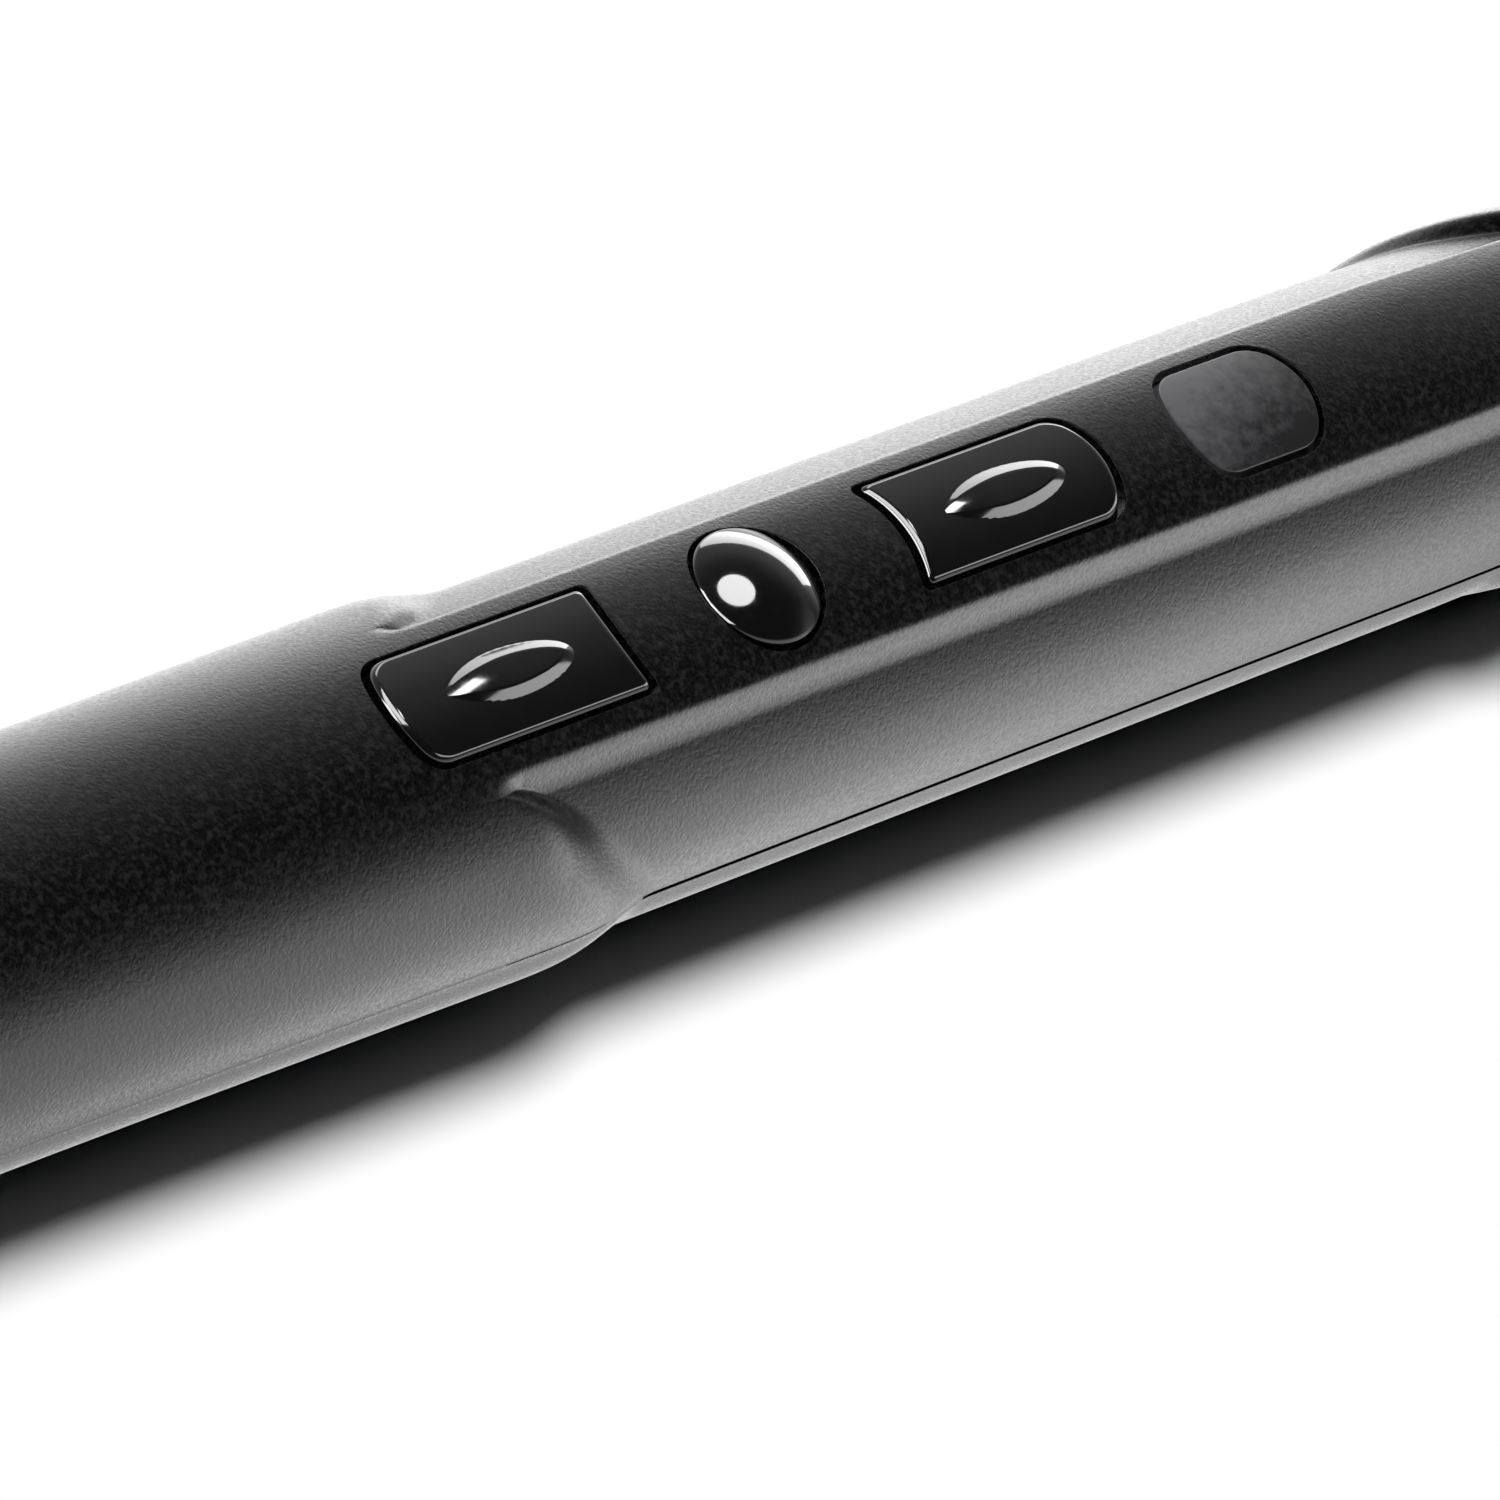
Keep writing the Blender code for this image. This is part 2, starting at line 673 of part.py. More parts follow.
def turned_upright(name, profile, station, height, sides=SMALL_SIDES):
    """Revolve (radius, height) points round an upright line."""
    obj = turned(name, profile, station, height, sides=sides)
    obj.rotation_euler = (0.0, 0.0, 0.0)
    return obj


def make_switch(name, station):
    """Square switch with a plunger that the key presses down its bore."""
    foot = BOARD_TOP + CLEARANCE
    body = box(name + "_switch", (SWITCH_SIDE, SWITCH_SIDE, SWITCH_TOP - foot),
               place(station, 0.0, (SWITCH_TOP + foot) / 2))
    rest = KEY_FOOT - CLEARANCE
    low = rest - PLUNGER_LENGTH
    bore = cylinder(name + "_switch_bore", PLUNGER_RADIUS + CLEARANCE, low - KEY_TRAVEL - CLEARANCE,
                    SWITCH_TOP + CLEARANCE, station, collection=cutters)
    boolean(body, bore, "DIFFERENCE")
    finish(body, (0.020, 0.020, 0.020), 0.40)
    finish(cylinder(name + "_plunger", PLUNGER_RADIUS, low, rest, station), (0.500, 0.500, 0.480), 0.40)


def make_alarm():
    sounder = turned_upright("sounder", [
        (0.0, SOUNDER_TOP), (SOUNDER_RADIUS * 0.7, SOUNDER_TOP),
        (SOUNDER_RADIUS * 0.7, (SOUNDER_TOP + SOUNDER_FOOT) / 2),
        (SOUNDER_RADIUS, (SOUNDER_TOP + SOUNDER_FOOT) / 2 - SOUNDER_STEP),
        (SOUNDER_RADIUS, SOUNDER_FOOT), (SOUNDER_RADIUS * 0.85, SOUNDER_FOOT),
        (SOUNDER_RADIUS * 0.3, SOUNDER_FOOT + SOUNDER_CONE), (0.0, SOUNDER_FOOT + SOUNDER_STEP)],
        SOUNDER_STATION, 0.0, BORE_SIDES)
    finish(sounder, (0.030, 0.030, 0.032), 0.50)
    shaft_bore = SHAFT_RADIUS + CLEARANCE
    motor_end = MOTOR_STATION + MOTOR_LENGTH
    motor = turned("vibration_motor", [
        (0.0, motor_end - MOTOR_BORE), (shaft_bore, motor_end - MOTOR_BORE), (shaft_bore, motor_end),
        (MOTOR_RADIUS - MOTOR_EDGE, motor_end), (MOTOR_RADIUS, motor_end - MOTOR_EDGE),
        (MOTOR_RADIUS, MOTOR_STATION + MOTOR_EDGE), (MOTOR_RADIUS - MOTOR_EDGE, MOTOR_STATION),
        (0.0, MOTOR_STATION)],
        height=MOTOR_DROP, sides=BORE_SIDES)
    finish(motor, (0.600, 0.600, 0.610), 0.30, 1.0)
    start = motor_end + CLEARANCE * 2
    weight = as_mesh(turned("vibration_weight", [
        (0.0, start + WEIGHT_LENGTH), (WEIGHT_RADIUS, start + WEIGHT_LENGTH), (WEIGHT_RADIUS, start),
        (SHAFT_RADIUS, start), (SHAFT_RADIUS, motor_end - SHAFT_IN_MOTOR), (0.0, motor_end - SHAFT_IN_MOTOR)],
        height=MOTOR_DROP, sides=BORE_SIDES))
    half = box("weight_cut", (WEIGHT_LENGTH * 1.5, WEIGHT_RADIUS * 2.5, WEIGHT_RADIUS * 2),
               place(start + WEIGHT_LENGTH * 0.75, 0.0, MOTOR_DROP + SHAFT_RADIUS + WEIGHT_RADIUS), cutters)
    boolean(weight, half, "DIFFERENCE")
    finish(weight, (0.450, 0.430, 0.400), 0.35, 1.0)


# Battery and cap

def make_battery():
    finish(ring("battery_sleeve", SLEEVE_INNER, SLEEVE_OUTER, SLEEVE_FRONT, SLEEVE_REAR),
           (0.030, 0.030, 0.032), 0.50)
    nub_end = CELL_FRONT - CELL_NUB
    cell = turned("battery_cell", [
        (0.0, CELL_REAR), (CELL_RADIUS - CELL_EDGE, CELL_REAR), (CELL_RADIUS, CELL_REAR - CELL_EDGE),
        (CELL_RADIUS, CELL_FRONT + CELL_EDGE), (CELL_RADIUS - CELL_EDGE, CELL_FRONT),
        (CELL_NUB_RADIUS, CELL_FRONT), (CELL_NUB_RADIUS, nub_end), (0.0, nub_end)])
    finish(cell, (0.250, 0.260, 0.270), 0.35, 0.6)
    pip_end = nub_end - CLEARANCE
    plate_end = pip_end - CONTACT_PIP
    plate_start = plate_end - CONTACT_THICK
    contact = turned("front_contact", [
        (0.0, pip_end), (CELL_NUB_RADIUS, pip_end), (CELL_NUB_RADIUS, plate_end),
        (CELL_RADIUS, plate_end), (CELL_RADIUS, plate_start), (0.0, plate_start)], sides=BORE_SIDES)
    finish(contact, (0.700, 0.690, 0.660), 0.25, 1.0)


def make_cap_spring():
    """Coil spring between the cell and the floor of the cap, one unbroken wire."""
    start = CELL_REAR + CLEARANCE + SPRING_WIRE
    end = CAP_FLOOR - CLEARANCE - SPRING_WIRE
    count = SPRING_TURNS * SMALL_SIDES // 2
    curve = bpy.data.curves.new("cap_spring", "CURVE")
    curve.dimensions = "3D"
    curve.bevel_depth = SPRING_WIRE
    curve.bevel_resolution = 1
    curve.use_fill_caps = True
    spline = curve.splines.new("POLY")
    spline.points.add(count)
    for i, point in enumerate(spline.points):
        turn = 2 * math.pi * SPRING_TURNS * i / count
        along = start + (end - start) * i / count
        point.co = (along, SPRING_RADIUS * math.cos(turn), SPRING_RADIUS * math.sin(turn), 1.0)
    wire = [point.co.xyz for point in spline.points]
    half_turn = SMALL_SIDES // 4
    gaps = [(a - b).length - 2 * SPRING_WIRE for i, a in enumerate(wire) for b in wire[i + half_turn:]]
    print(f"cap spring least gap between turns {min(gaps) * 1000:.2f} mm")
    spring = as_mesh(add_object("cap_spring", curve, place(0.0)))
    finish(spring, (0.650, 0.640, 0.620), 0.25, 1.0)


def make_cap():
    seal_start = COLLAR_START + CLEARANCE
    seal_end = seal_start + SEAL_THICK
    finish(ring("cap_seal", SEAL_INNER, tube_radius(seal_end) - SEAL_INSET, seal_start, seal_end),
           (0.015, 0.015, 0.015), 0.80)
    rim = seal_end + CLEARANCE
    steps = SMALL_SIDES // 2
    stations = [rim + (BUTT_END - rim) * math.cos(math.pi / 2 * i / steps) for i in range(steps + 1)]
    profile = [(tube_radius(station), station) for station in stations]
    bore = COLLAR_RADIUS + CLEARANCE
    profile += [(bore, rim), (bore, CAP_CAVITY_START), (CAP_CAVITY, CAP_CAVITY_START),
                (CAP_CAVITY, CAP_FLOOR), (0.0, CAP_FLOOR)]
    cap = as_mesh(turned("battery_cap", profile))
    slot = box("coin_slot", (SLOT_DEPTH * 2, TUBE_RADIUS * 2, SLOT_WIDTH), place(BUTT_END), cutters)
    boolean(cap, slot, "DIFFERENCE")
    finish(cap, (0.012, 0.012, 0.013), 0.45)
    make_cap_spring()


# Coils and screws

def make_coils():
    for name, start in COIL_STARTS.items():
        end = start + COIL_LENGTH
        lip = BOBBIN_FLANGE_THICK
        bobbin = turned(name + "_bobbin", [
            (BOBBIN_BORE, end), (BOBBIN_FLANGE, end), (BOBBIN_FLANGE, end - lip), (BOBBIN_CORE, end - lip),
            (BOBBIN_CORE, start + lip), (BOBBIN_FLANGE, start + lip), (BOBBIN_FLANGE, start),
            (BOBBIN_BORE, start)], closed=True, sides=BORE_SIDES)
        finish(bobbin, (0.700, 0.690, 0.640), 0.50)
        coil = ring(name + "_coil", BOBBIN_CORE + CLEARANCE, COIL_RADIUS, start + lip + CLEARANCE,
                    end - lip - CLEARANCE, sides=BORE_SIDES)
        finish(coil, (0.600, 0.230, 0.080), 0.35, 0.8)


def make_screws():
    for i, station in enumerate(SCREW_STATIONS, start=1):
        seat = HEAD_SEAT - CLEARANCE
        low = seat - SCREW_HEAD_THICK
        screw = turned_upright(f"shell_screw_{i}", [
            (0.0, SCREW_TIP), (SCREW_SHANK, SCREW_TIP - SCREW_POINT), (SCREW_SHANK, seat),
            (SCREW_HEAD, seat), (SCREW_HEAD, low + SCREW_HEAD_EDGE), (SCREW_HEAD - SCREW_HEAD_EDGE, low),
            (0.0, low)], station, 0.0)
        finish(screw, (0.300, 0.300, 0.310), 0.30, 1.0)


def shade_parts():
    for obj in parts.objects:
        if obj.type == "MESH" and len(obj.data.polygons) > 0:
            obj.data.shade_smooth()
            obj.data.set_sharp_from_angle(angle=math.radians(30.0))


clear_scene()
parts = new_collection("hand_scanner")
cutters = new_collection("cutters")
make_shells(make_body_form())
make_keys()
make_window()
make_board()
make_alarm()
make_battery()
make_cap()
make_coils()
make_screws()
shade_parts()
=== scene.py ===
import json
import math

import bmesh
import bpy
from mathutils import Matrix, Vector

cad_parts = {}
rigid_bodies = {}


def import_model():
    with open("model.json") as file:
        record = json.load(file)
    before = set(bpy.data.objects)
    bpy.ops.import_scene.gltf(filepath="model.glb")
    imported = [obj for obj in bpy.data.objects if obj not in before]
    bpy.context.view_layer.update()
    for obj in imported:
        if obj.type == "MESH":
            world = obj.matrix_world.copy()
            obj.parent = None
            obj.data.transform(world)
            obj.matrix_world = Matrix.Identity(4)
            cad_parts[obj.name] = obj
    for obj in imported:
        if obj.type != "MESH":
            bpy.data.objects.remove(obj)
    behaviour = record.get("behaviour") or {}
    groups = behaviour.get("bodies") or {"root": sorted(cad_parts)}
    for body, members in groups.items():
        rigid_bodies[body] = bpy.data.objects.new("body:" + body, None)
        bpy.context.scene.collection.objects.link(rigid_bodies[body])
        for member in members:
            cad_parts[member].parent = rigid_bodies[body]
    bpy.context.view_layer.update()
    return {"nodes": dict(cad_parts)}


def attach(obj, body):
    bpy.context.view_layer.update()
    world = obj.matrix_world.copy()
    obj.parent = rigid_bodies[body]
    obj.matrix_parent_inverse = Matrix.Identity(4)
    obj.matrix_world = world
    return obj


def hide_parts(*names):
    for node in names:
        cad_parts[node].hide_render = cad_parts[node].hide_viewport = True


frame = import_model()
print("frame loaded with", len(frame["nodes"]), "nodes")

# stations along the wand are measured from the dome key and heights from the wand's axis, in metres
wand = {"domeX": 0.0730, "axisZ": 0.0141, "radius": 0.0150, "wall": 0.0014,
        "noseEnd": -0.2830, "noseRound": 0.0250, "buttEnd": 0.1370, "buttRound": 0.0660, "power": 2.5,
        "flat": -0.0141, "collarStart": 0.1100, "collarEnd": 0.1185, "collarRadius": 0.0099}
home = Vector((wand["domeX"], 0.0, wand["axisZ"]))


def smooth(value):
    value = min(1.0, max(0.0, value))
    return value * value * (3.0 - 2.0 * value)


def softer(value):
    value = min(1.0, max(0.0, value))
    return value ** 3 * (value * (6.0 * value - 15.0) + 10.0)


def softRamp(value, half):  # zero, then a straight rise, with the corner rounded over half on each side
    if value <= -half:
        return 0.0
    if value >= half:
        return value
    return (value + half) ** 2 / (4.0 * half)


def spread(start, end, count):
    return [start + (end - start) * i / count for i in range(count + 1)]


def arcPoints(x, y, radius, start, end, count):
    return [(x + radius * math.cos(a), y + radius * math.sin(a)) for a in spread(start, end, count)]


def circlePoints(x, y, radius, sides):
    return arcPoints(x, y, radius, 0.0, 2.0 * math.pi * (sides - 1) / sides, sides - 1)


def addPiece(name, bm, location=home):
    bmesh.ops.recalc_face_normals(bm, faces=bm.faces)
    mesh = bpy.data.meshes.new(name)
    bm.to_mesh(mesh)
    bm.free()
    piece = bpy.data.objects.new(name, mesh)
    piece.location = location
    bpy.context.scene.collection.objects.link(piece)
    return piece


def bakePiece(piece, sharpAngle=38.0):  # modifiers into the mesh, then soft shading with crisp edges
    graph = bpy.context.evaluated_depsgraph_get()
    graph.update()
    mesh = bpy.data.meshes.new_from_object(piece.evaluated_get(graph))
    piece.modifiers.clear()
    piece.data = mesh
    mesh.shade_smooth()
    mesh.set_sharp_from_angle(angle=math.radians(sharpAngle))
    return piece


def cutWith(piece, tool, operation="DIFFERENCE"):
    step = piece.modifiers.new(tool.name, "BOOLEAN")
    step.solver = "EXACT"
    step.operation = operation
    step.object = tool
    bakePiece(piece)
    bpy.data.objects.remove(tool, do_unlink=True)


def loftLoops(bm, loops, closeEnds=False):  # equal loops of points joined into bands
    rings = [[bm.verts.new(point) for point in loop] for loop in loops]
    count = len(rings[0])
    for front, back in zip(rings, rings[1:]):
        for i in range(count):
            j = (i + 1) % count
            bm.faces.new((front[i], front[j], back[j], back[i]))
    if closeEnds:
        bm.faces.new(rings[0])
        bm.faces.new(rings[-1])
    return rings


def fillGrid(bm, grid):  # rows of points joined into one sheet
    for low, high in zip(grid, grid[1:]):
        for i in range(len(low) - 1):
            bm.faces.new((low[i], low[i + 1], high[i + 1], high[i]))


weld = {"turned": 0.0000005, "plate": 0.0000008, "onTop": 0.000001}  # distances that count as none


def turnProfile(bm, profile, sides, alongX=False):  # (radius, along) points turned round Z, or round X
    loops = []
    for radius, along in profile:
        loop = []
        for i in range(sides):
            turn = 2.0 * math.pi * i / sides
            across = (max(radius, 0.0) * math.cos(turn), max(radius, 0.0) * math.sin(turn))
            loop.append((along, *across) if alongX else (*across, along))
        loops.append(loop)
    loftLoops(bm, loops)
    bmesh.ops.remove_doubles(bm, verts=bm.verts, dist=weld["turned"])


# finishes

noiseSpan = (0.3, 0.7)  # nearly all values of a noise lie in this span


def newFinish(name, colour, roughness, metallic=0.0, specular=0.5):
    finish = bpy.data.materials.new(name)
    finish.use_nodes = True
    shader = finish.node_tree.nodes["Principled BSDF"]
    shader.inputs["Base Color"].default_value = (*colour, 1.0)
    shader.inputs["Roughness"].default_value = roughness
    shader.inputs["Metallic"].default_value = metallic
    shader.inputs["Specular IOR Level"].default_value = specular
    return finish, shader


def addNoise(finish, scale, detail=2.0, rough=0.5, stretch=(1.0, 1.0, 1.0)):
    nodes = finish.node_tree.nodes
    links = finish.node_tree.links
    place = nodes.new("ShaderNodeTexCoord")
    mapping = nodes.new("ShaderNodeMapping")
    mapping.inputs["Scale"].default_value = stretch
    noise = nodes.new("ShaderNodeTexNoise")
    noise.inputs["Scale"].default_value = scale
    noise.inputs["Detail"].default_value = detail
    noise.inputs["Roughness"].default_value = rough
    links.new(place.outputs["Object"], mapping.inputs["Vector"])
    links.new(mapping.outputs["Vector"], noise.inputs["Vector"])
    return noise


def addRange(finish, source, low, high, fromLow=noiseSpan[0], fromHigh=noiseSpan[1]):
    spreadNode = finish.node_tree.nodes.new("ShaderNodeMapRange")
    spreadNode.inputs["From Min"].default_value = fromLow
    spreadNode.inputs["From Max"].default_value = fromHigh
    spreadNode.inputs["To Min"].default_value = low
    spreadNode.inputs["To Max"].default_value = high
    finish.node_tree.links.new(source, spreadNode.inputs["Value"])
    return spreadNode.outputs["Result"]


def addTint(finish, source, dark, light):
    ramp = finish.node_tree.nodes.new("ShaderNodeValToRGB")
    for point, place, colour in zip(ramp.color_ramp.elements, noiseSpan, (dark, light)):
        point.position = place
        point.color = (*colour, 1.0)
    finish.node_tree.links.new(source, ramp.inputs["Fac"])
    return ramp.outputs["Color"]


def addBump(finish, shader, height, strength, distance):
    bump = finish.node_tree.nodes.new("ShaderNodeBump")
    bump.inputs["Strength"].default_value = strength
    bump.inputs["Distance"].default_value = distance
    finish.node_tree.links.new(height, bump.inputs["Height"])
    finish.node_tree.links.new(bump.outputs["Normal"], shader.inputs["Normal"])
    return bump


# colour is the moulding's black; light is the tint of its painted glint specks
sparkPlastic = {"colour": (0.0003, 0.0003, 0.0003), "light": (0.0125, 0.0125, 0.0129), "roughness": 0.28,
                "spread": 0.10, "grain": 3000.0, "glintSpeck": 1700.0, "detail": 3.0, "fineShare": 0.6,
                "glintSpeckLow": 0.28, "glintSpeckHigh": 0.88, "strength": 0.52, "distance": 0.00008}


def makeSparkFinish(name, given):  # black moulding with the fine pitted texture of a spark-eroded mould
    finish, shader = newFinish(name, given["colour"], given["roughness"])
    links = finish.node_tree.links
    grain = addNoise(finish, given["grain"], given["detail"], given["fineShare"])
    glintSpeck = addNoise(finish, given["glintSpeck"], given["detail"], given["fineShare"])
    low = given["roughness"] - given["spread"]
    high = given["roughness"] + given["spread"]
    links.new(addRange(finish, grain.outputs["Fac"], low, high), shader.inputs["Roughness"])
    # painted glints: sparse paler specks in the base colour stand in for the glints off the pits
    share = addRange(finish, glintSpeck.outputs["Fac"], 0.0, 1.0, given["glintSpeckLow"], given["glintSpeckHigh"])
    links.new(addTint(finish, share, given["colour"], given["light"]), shader.inputs["Base Color"])
    addBump(finish, shader, grain.outputs["Fac"], given["strength"], given["distance"])
    return finish


fineGrain = {"detail": 4.0, "fineShare": 0.55, "glossiest": 0.02}


def makeFineFinish(name, dark, light, roughness, scale, metallic=0.0, strength=0.1, distance=0.00002,
                   stretch=(1.0, 1.0, 1.0), spread=0.04):  # two close tints, uneven gloss, faint relief
    finish, shader = newFinish(name, dark, roughness, metallic)
    links = finish.node_tree.links
    noise = addNoise(finish, scale, fineGrain["detail"], fineGrain["fineShare"], stretch)
    grain = noise.outputs["Fac"]
    links.new(addTint(finish, grain, dark, light), shader.inputs["Base Color"])
    low = max(fineGrain["glossiest"], roughness - spread)
    links.new(addRange(finish, grain, low, roughness + spread), shader.inputs["Roughness"])
    addBump(finish, shader, grain, strength, distance)
    return finish


# along, across, low and high set the slant of the pane's painted reflection
smokeWindow = {"dark": (0.010, 0.010, 0.011), "light": (0.078, 0.078, 0.082), "roughness": 0.36,
               "grain": 900.0, "detail": 5.0, "fineShare": 0.65, "along": -25.0, "across": 50.0,
               "low": -1.76, "high": -0.91, "mottle": 0.26, "strength": 0.25, "distance": 0.00004}


def makeWindowFinish(name, given):  # smoked pane with a painted reflection that pales it towards its nose end and far side, and a cloudy frosting
    finish, shader = newFinish(name, given["dark"], given["roughness"])
    nodes = finish.node_tree.nodes
    links = finish.node_tree.links
    noise = addNoise(finish, given["grain"], given["detail"], given["fineShare"])
    place = nodes.new("ShaderNodeTexCoord")
    # painted reflection: a slant across the pane makes its tint paler towards the nose end and far side
    slope = nodes.new("ShaderNodeVectorMath")
    slope.operation = "DOT_PRODUCT"
    slope.inputs[1].default_value = (given["along"], given["across"], 0.0)
    links.new(place.outputs["Object"], slope.inputs[0])
    total = nodes.new("ShaderNodeMath")
    total.operation = "ADD"
    reflectionShare = 1.0 - given["mottle"]
    pale = addRange(finish, slope.outputs["Value"], 0.0, reflectionShare, given["low"], given["high"])
    links.new(pale, total.inputs[0])
    links.new(addRange(finish, noise.outputs["Fac"], 0.0, given["mottle"]), total.inputs[1])
    tint = addTint(finish, total.outputs["Value"], given["dark"], given["light"])
    links.new(tint, shader.inputs["Base Color"])
    addBump(finish, shader, noise.outputs["Fac"], given["strength"], given["distance"])
    return finish


fineFinishes = {
    "key": {"name": "polished_black_plastic", "dark": (0.0030, 0.0030, 0.0032),
            "light": (0.0042, 0.0042, 0.0044), "roughness": 0.07, "scale": 900.0, "strength": 0.02,
            "distance": 0.00001, "spread": 0.02},
    "seal": {"name": "black_seal_rubber", "dark": (0.006, 0.006, 0.006), "light": (0.011, 0.011, 0.011),
             "roughness": 0.72, "scale": 1500.0, "strength": 0.2},
    "steel": {"name": "plated_steel", "dark": (0.46, 0.46, 0.46), "light": (0.60, 0.60, 0.59),
              "roughness": 0.28, "scale": 1300.0, "metallic": 1.0, "strength": 0.06, "distance": 0.00001,
              "stretch": (1.0, 1.0, 0.2)},
    "board": {"name": "green_board_lacquer", "dark": (0.006, 0.050, 0.022), "light": (0.012, 0.085, 0.038),
              "roughness": 0.34, "scale": 900.0, "strength": 0.15, "stretch": (0.3, 1.0, 1.0)},
    "switch": {"name": "moulded_black_plastic", "dark": (0.014, 0.014, 0.015),
               "light": (0.024, 0.024, 0.025), "roughness": 0.46, "scale": 1800.0, "strength": 0.2},
    "plunger": {"name": "white_moulded_plastic", "dark": (0.44, 0.44, 0.42), "light": (0.54, 0.54, 0.52),
                "roughness": 0.40, "scale": 1600.0},
    "lamp": {"name": "red_lamp_lens", "dark": (0.42, 0.020, 0.014), "light": (0.60, 0.034, 0.024),
             "roughness": 0.14, "scale": 700.0, "strength": 0.02, "distance": 0.00001},
    "cell": {"name": "plain_cell_sleeve", "dark": (0.20, 0.21, 0.22), "light": (0.27, 0.28, 0.29),
             "roughness": 0.32, "scale": 500.0, "metallic": 0.6, "strength": 0.05, "distance": 0.00001,
             "stretch": (0.1, 1.0, 1.0)},
    "bobbin": {"name": "cream_bobbin_plastic", "dark": (0.58, 0.56, 0.50), "light": (0.70, 0.68, 0.62),
               "roughness": 0.48, "scale": 1200.0, "strength": 0.12},
}
copperWire = {"colour": (0.50, 0.18, 0.06), "dark": (0.34, 0.11, 0.035), "light": (0.62, 0.25, 0.09),
              "roughness": 0.30, "metallic": 0.9, "scale": 125.0, "distortion": 0.6, "detail": 2.0,
              "strength": 0.5, "distance": 0.00006}


def makeWindingFinish(name, given):  # enamelled wire, banded along the bobbin
    finish, shader = newFinish(name, given["colour"], given["roughness"], given["metallic"])
    nodes = finish.node_tree.nodes
    links = finish.node_tree.links
    place = nodes.new("ShaderNodeTexCoord")
    turns = nodes.new("ShaderNodeTexWave")
    turns.inputs["Scale"].default_value = given["scale"]
    turns.inputs["Distortion"].default_value = given["distortion"]
    turns.inputs["Detail"].default_value = given["detail"]
    links.new(place.outputs["Object"], turns.inputs["Vector"])
    tint = addTint(finish, turns.outputs["Fac"], given["dark"], given["light"])
    links.new(tint, shader.inputs["Base Color"])
    addBump(finish, shader, turns.outputs["Fac"], given["strength"], given["distance"])
    return finish


finishes = {"shell": makeSparkFinish("spark_black_plastic", sparkPlastic),
            "window": makeWindowFinish("smoke_grey_window", smokeWindow)}
for use, given in fineFinishes.items():
    finishes[use] = makeFineFinish(**given)
finishes["winding"] = makeWindingFinish("enamelled_copper_wire", copperWire)


def wear(piece, finish):
    piece.data.materials.clear()
    piece.data.materials.append(finish)


print("finishes made")

# housing: one tube with the scooped grip, bored out, then split at its seam

grip = {"panelHalf": 0.00702, "footAngle": 54.3, "depth": 0.0015, "footGrow": 0.0000115,
        "bellyAngle": 44.0, "bellyRound": 8.0, "bellyFade": 0.0000180, "sideAngle": 22.0,
        "sideFade": 0.0000088, "lowFade": 0.0000085, "lowAngle": -30.0, "lowRound": 14.0, "edgeRound": 1.3,
        "footRound": 3.0}
step = {"noseTop": -0.0290, "topAngle": 57.0, "sideAngle": 5.0, "run": 0.0163, "power": 0.75,
        "length": 0.0058, "topLength": 0.0010, "topSwing": 10.0, "noseSide": (0.0085, 50.0, 27.0),
        "tailLength": 0.0025, "tailTopLength": 0.0035, "tailSide": (0.0065, 22.0, 45.0), "ease": 1.8,
        "middle": 0.0345, "tailSlant": 1.15, "tailEnd": 0.1050}
flare = {"station": -0.0715, "soft": 0.0120, "rise": 0.0105, "top": 50.0, "topSwing": 60.0, "low": -70.0,
         "lowSwing": 35.0}
seam = {"gap": 0.00005, "endGap": 0.00016, "waistGap": 0.00046, "waistHeight": -0.00062,
        "halfWidth": 0.00045, "depth": 0.00005, "waistDepth": 0.00014, "reachAngle": 8.0,
        "stations": (-0.0300, -0.0195, -0.0143, 0.0833, 0.0885, 0.0990)}
tubeRows = {"nose": (16, 8), "step": (22, 6), "flare": 8, "waist": 10, "tail": 4, "flareEnd": 0.0110,
            "waistEnd": 0.0050, "shoulder": 0.0002, "shoulderEdge": 0.0003,
            "before": [-0.2, -0.1], "after": [1.03, 1.1, 1.2]}  # pairs: the outside, then the bore
tubeColumns = {"panel": (10, 5), "wall": (28, 7), "side": (22, 9), "seam": 24, "low": (22, 9),
               "panelPast": 2.0, "footPast": 4.0, "sideEnd": 2.0, "seamSpan": (1.7, -4.3),
               "lowStart": -5.0}


def roundOff(reach):
    return (1.0 - reach ** wand["power"]) ** (1.0 / wand["power"])


def tubeRadius(x, inset=0.0):  # of the outside, or of the bore inside it
    noseStart = wand["noseEnd"] + wand["noseRound"]
    buttStart = wand["buttEnd"] - wand["buttRound"]
    if x < noseStart:
        reach = (noseStart - x) / (wand["noseRound"] - inset)
        return (wand["radius"] - inset) * roundOff(min(1.0, reach))
    reach = max(0.0, x - buttStart) / wand["buttRound"]
    return wand["radius"] * roundOff(min(1.0, reach)) - inset


edgeAngle = math.degrees(math.acos(grip["panelHalf"] / wand["radius"]))
wallSlope = grip["depth"] / (edgeAngle - grip["footAngle"])


def scoopDepth(angle):  # the wall under the panel's edge, then the scoop that fades out round the side
    bellyTurn = grip["footGrow"] + grip["bellyFade"]
    sideTurn = grip["bellyFade"] - grip["sideFade"]
    depth = wallSlope * softRamp(edgeAngle - angle, grip["edgeRound"])
    depth -= (wallSlope - grip["footGrow"]) * softRamp(grip["footAngle"] - angle, grip["footRound"])
    depth -= bellyTurn * softRamp(grip["bellyAngle"] - angle, grip["bellyRound"])
    depth += sideTurn * softRamp(grip["sideAngle"] - angle, grip["bellyRound"])
    depth -= grip["lowFade"] * softRamp(grip["lowAngle"] - angle, grip["lowRound"])
    return max(0.0, depth)


def stepSlant(angle):
    share = (step["topAngle"] - angle) / (step["topAngle"] - step["sideAngle"])
    return min(1.0, max(0.0, share)) ** step["power"]


def stepFoot(angle):  # where the scoop's nose-end step meets the waist: it slants tailwards down the side
    return step["noseTop"] + step["run"] * stepSlant(angle)


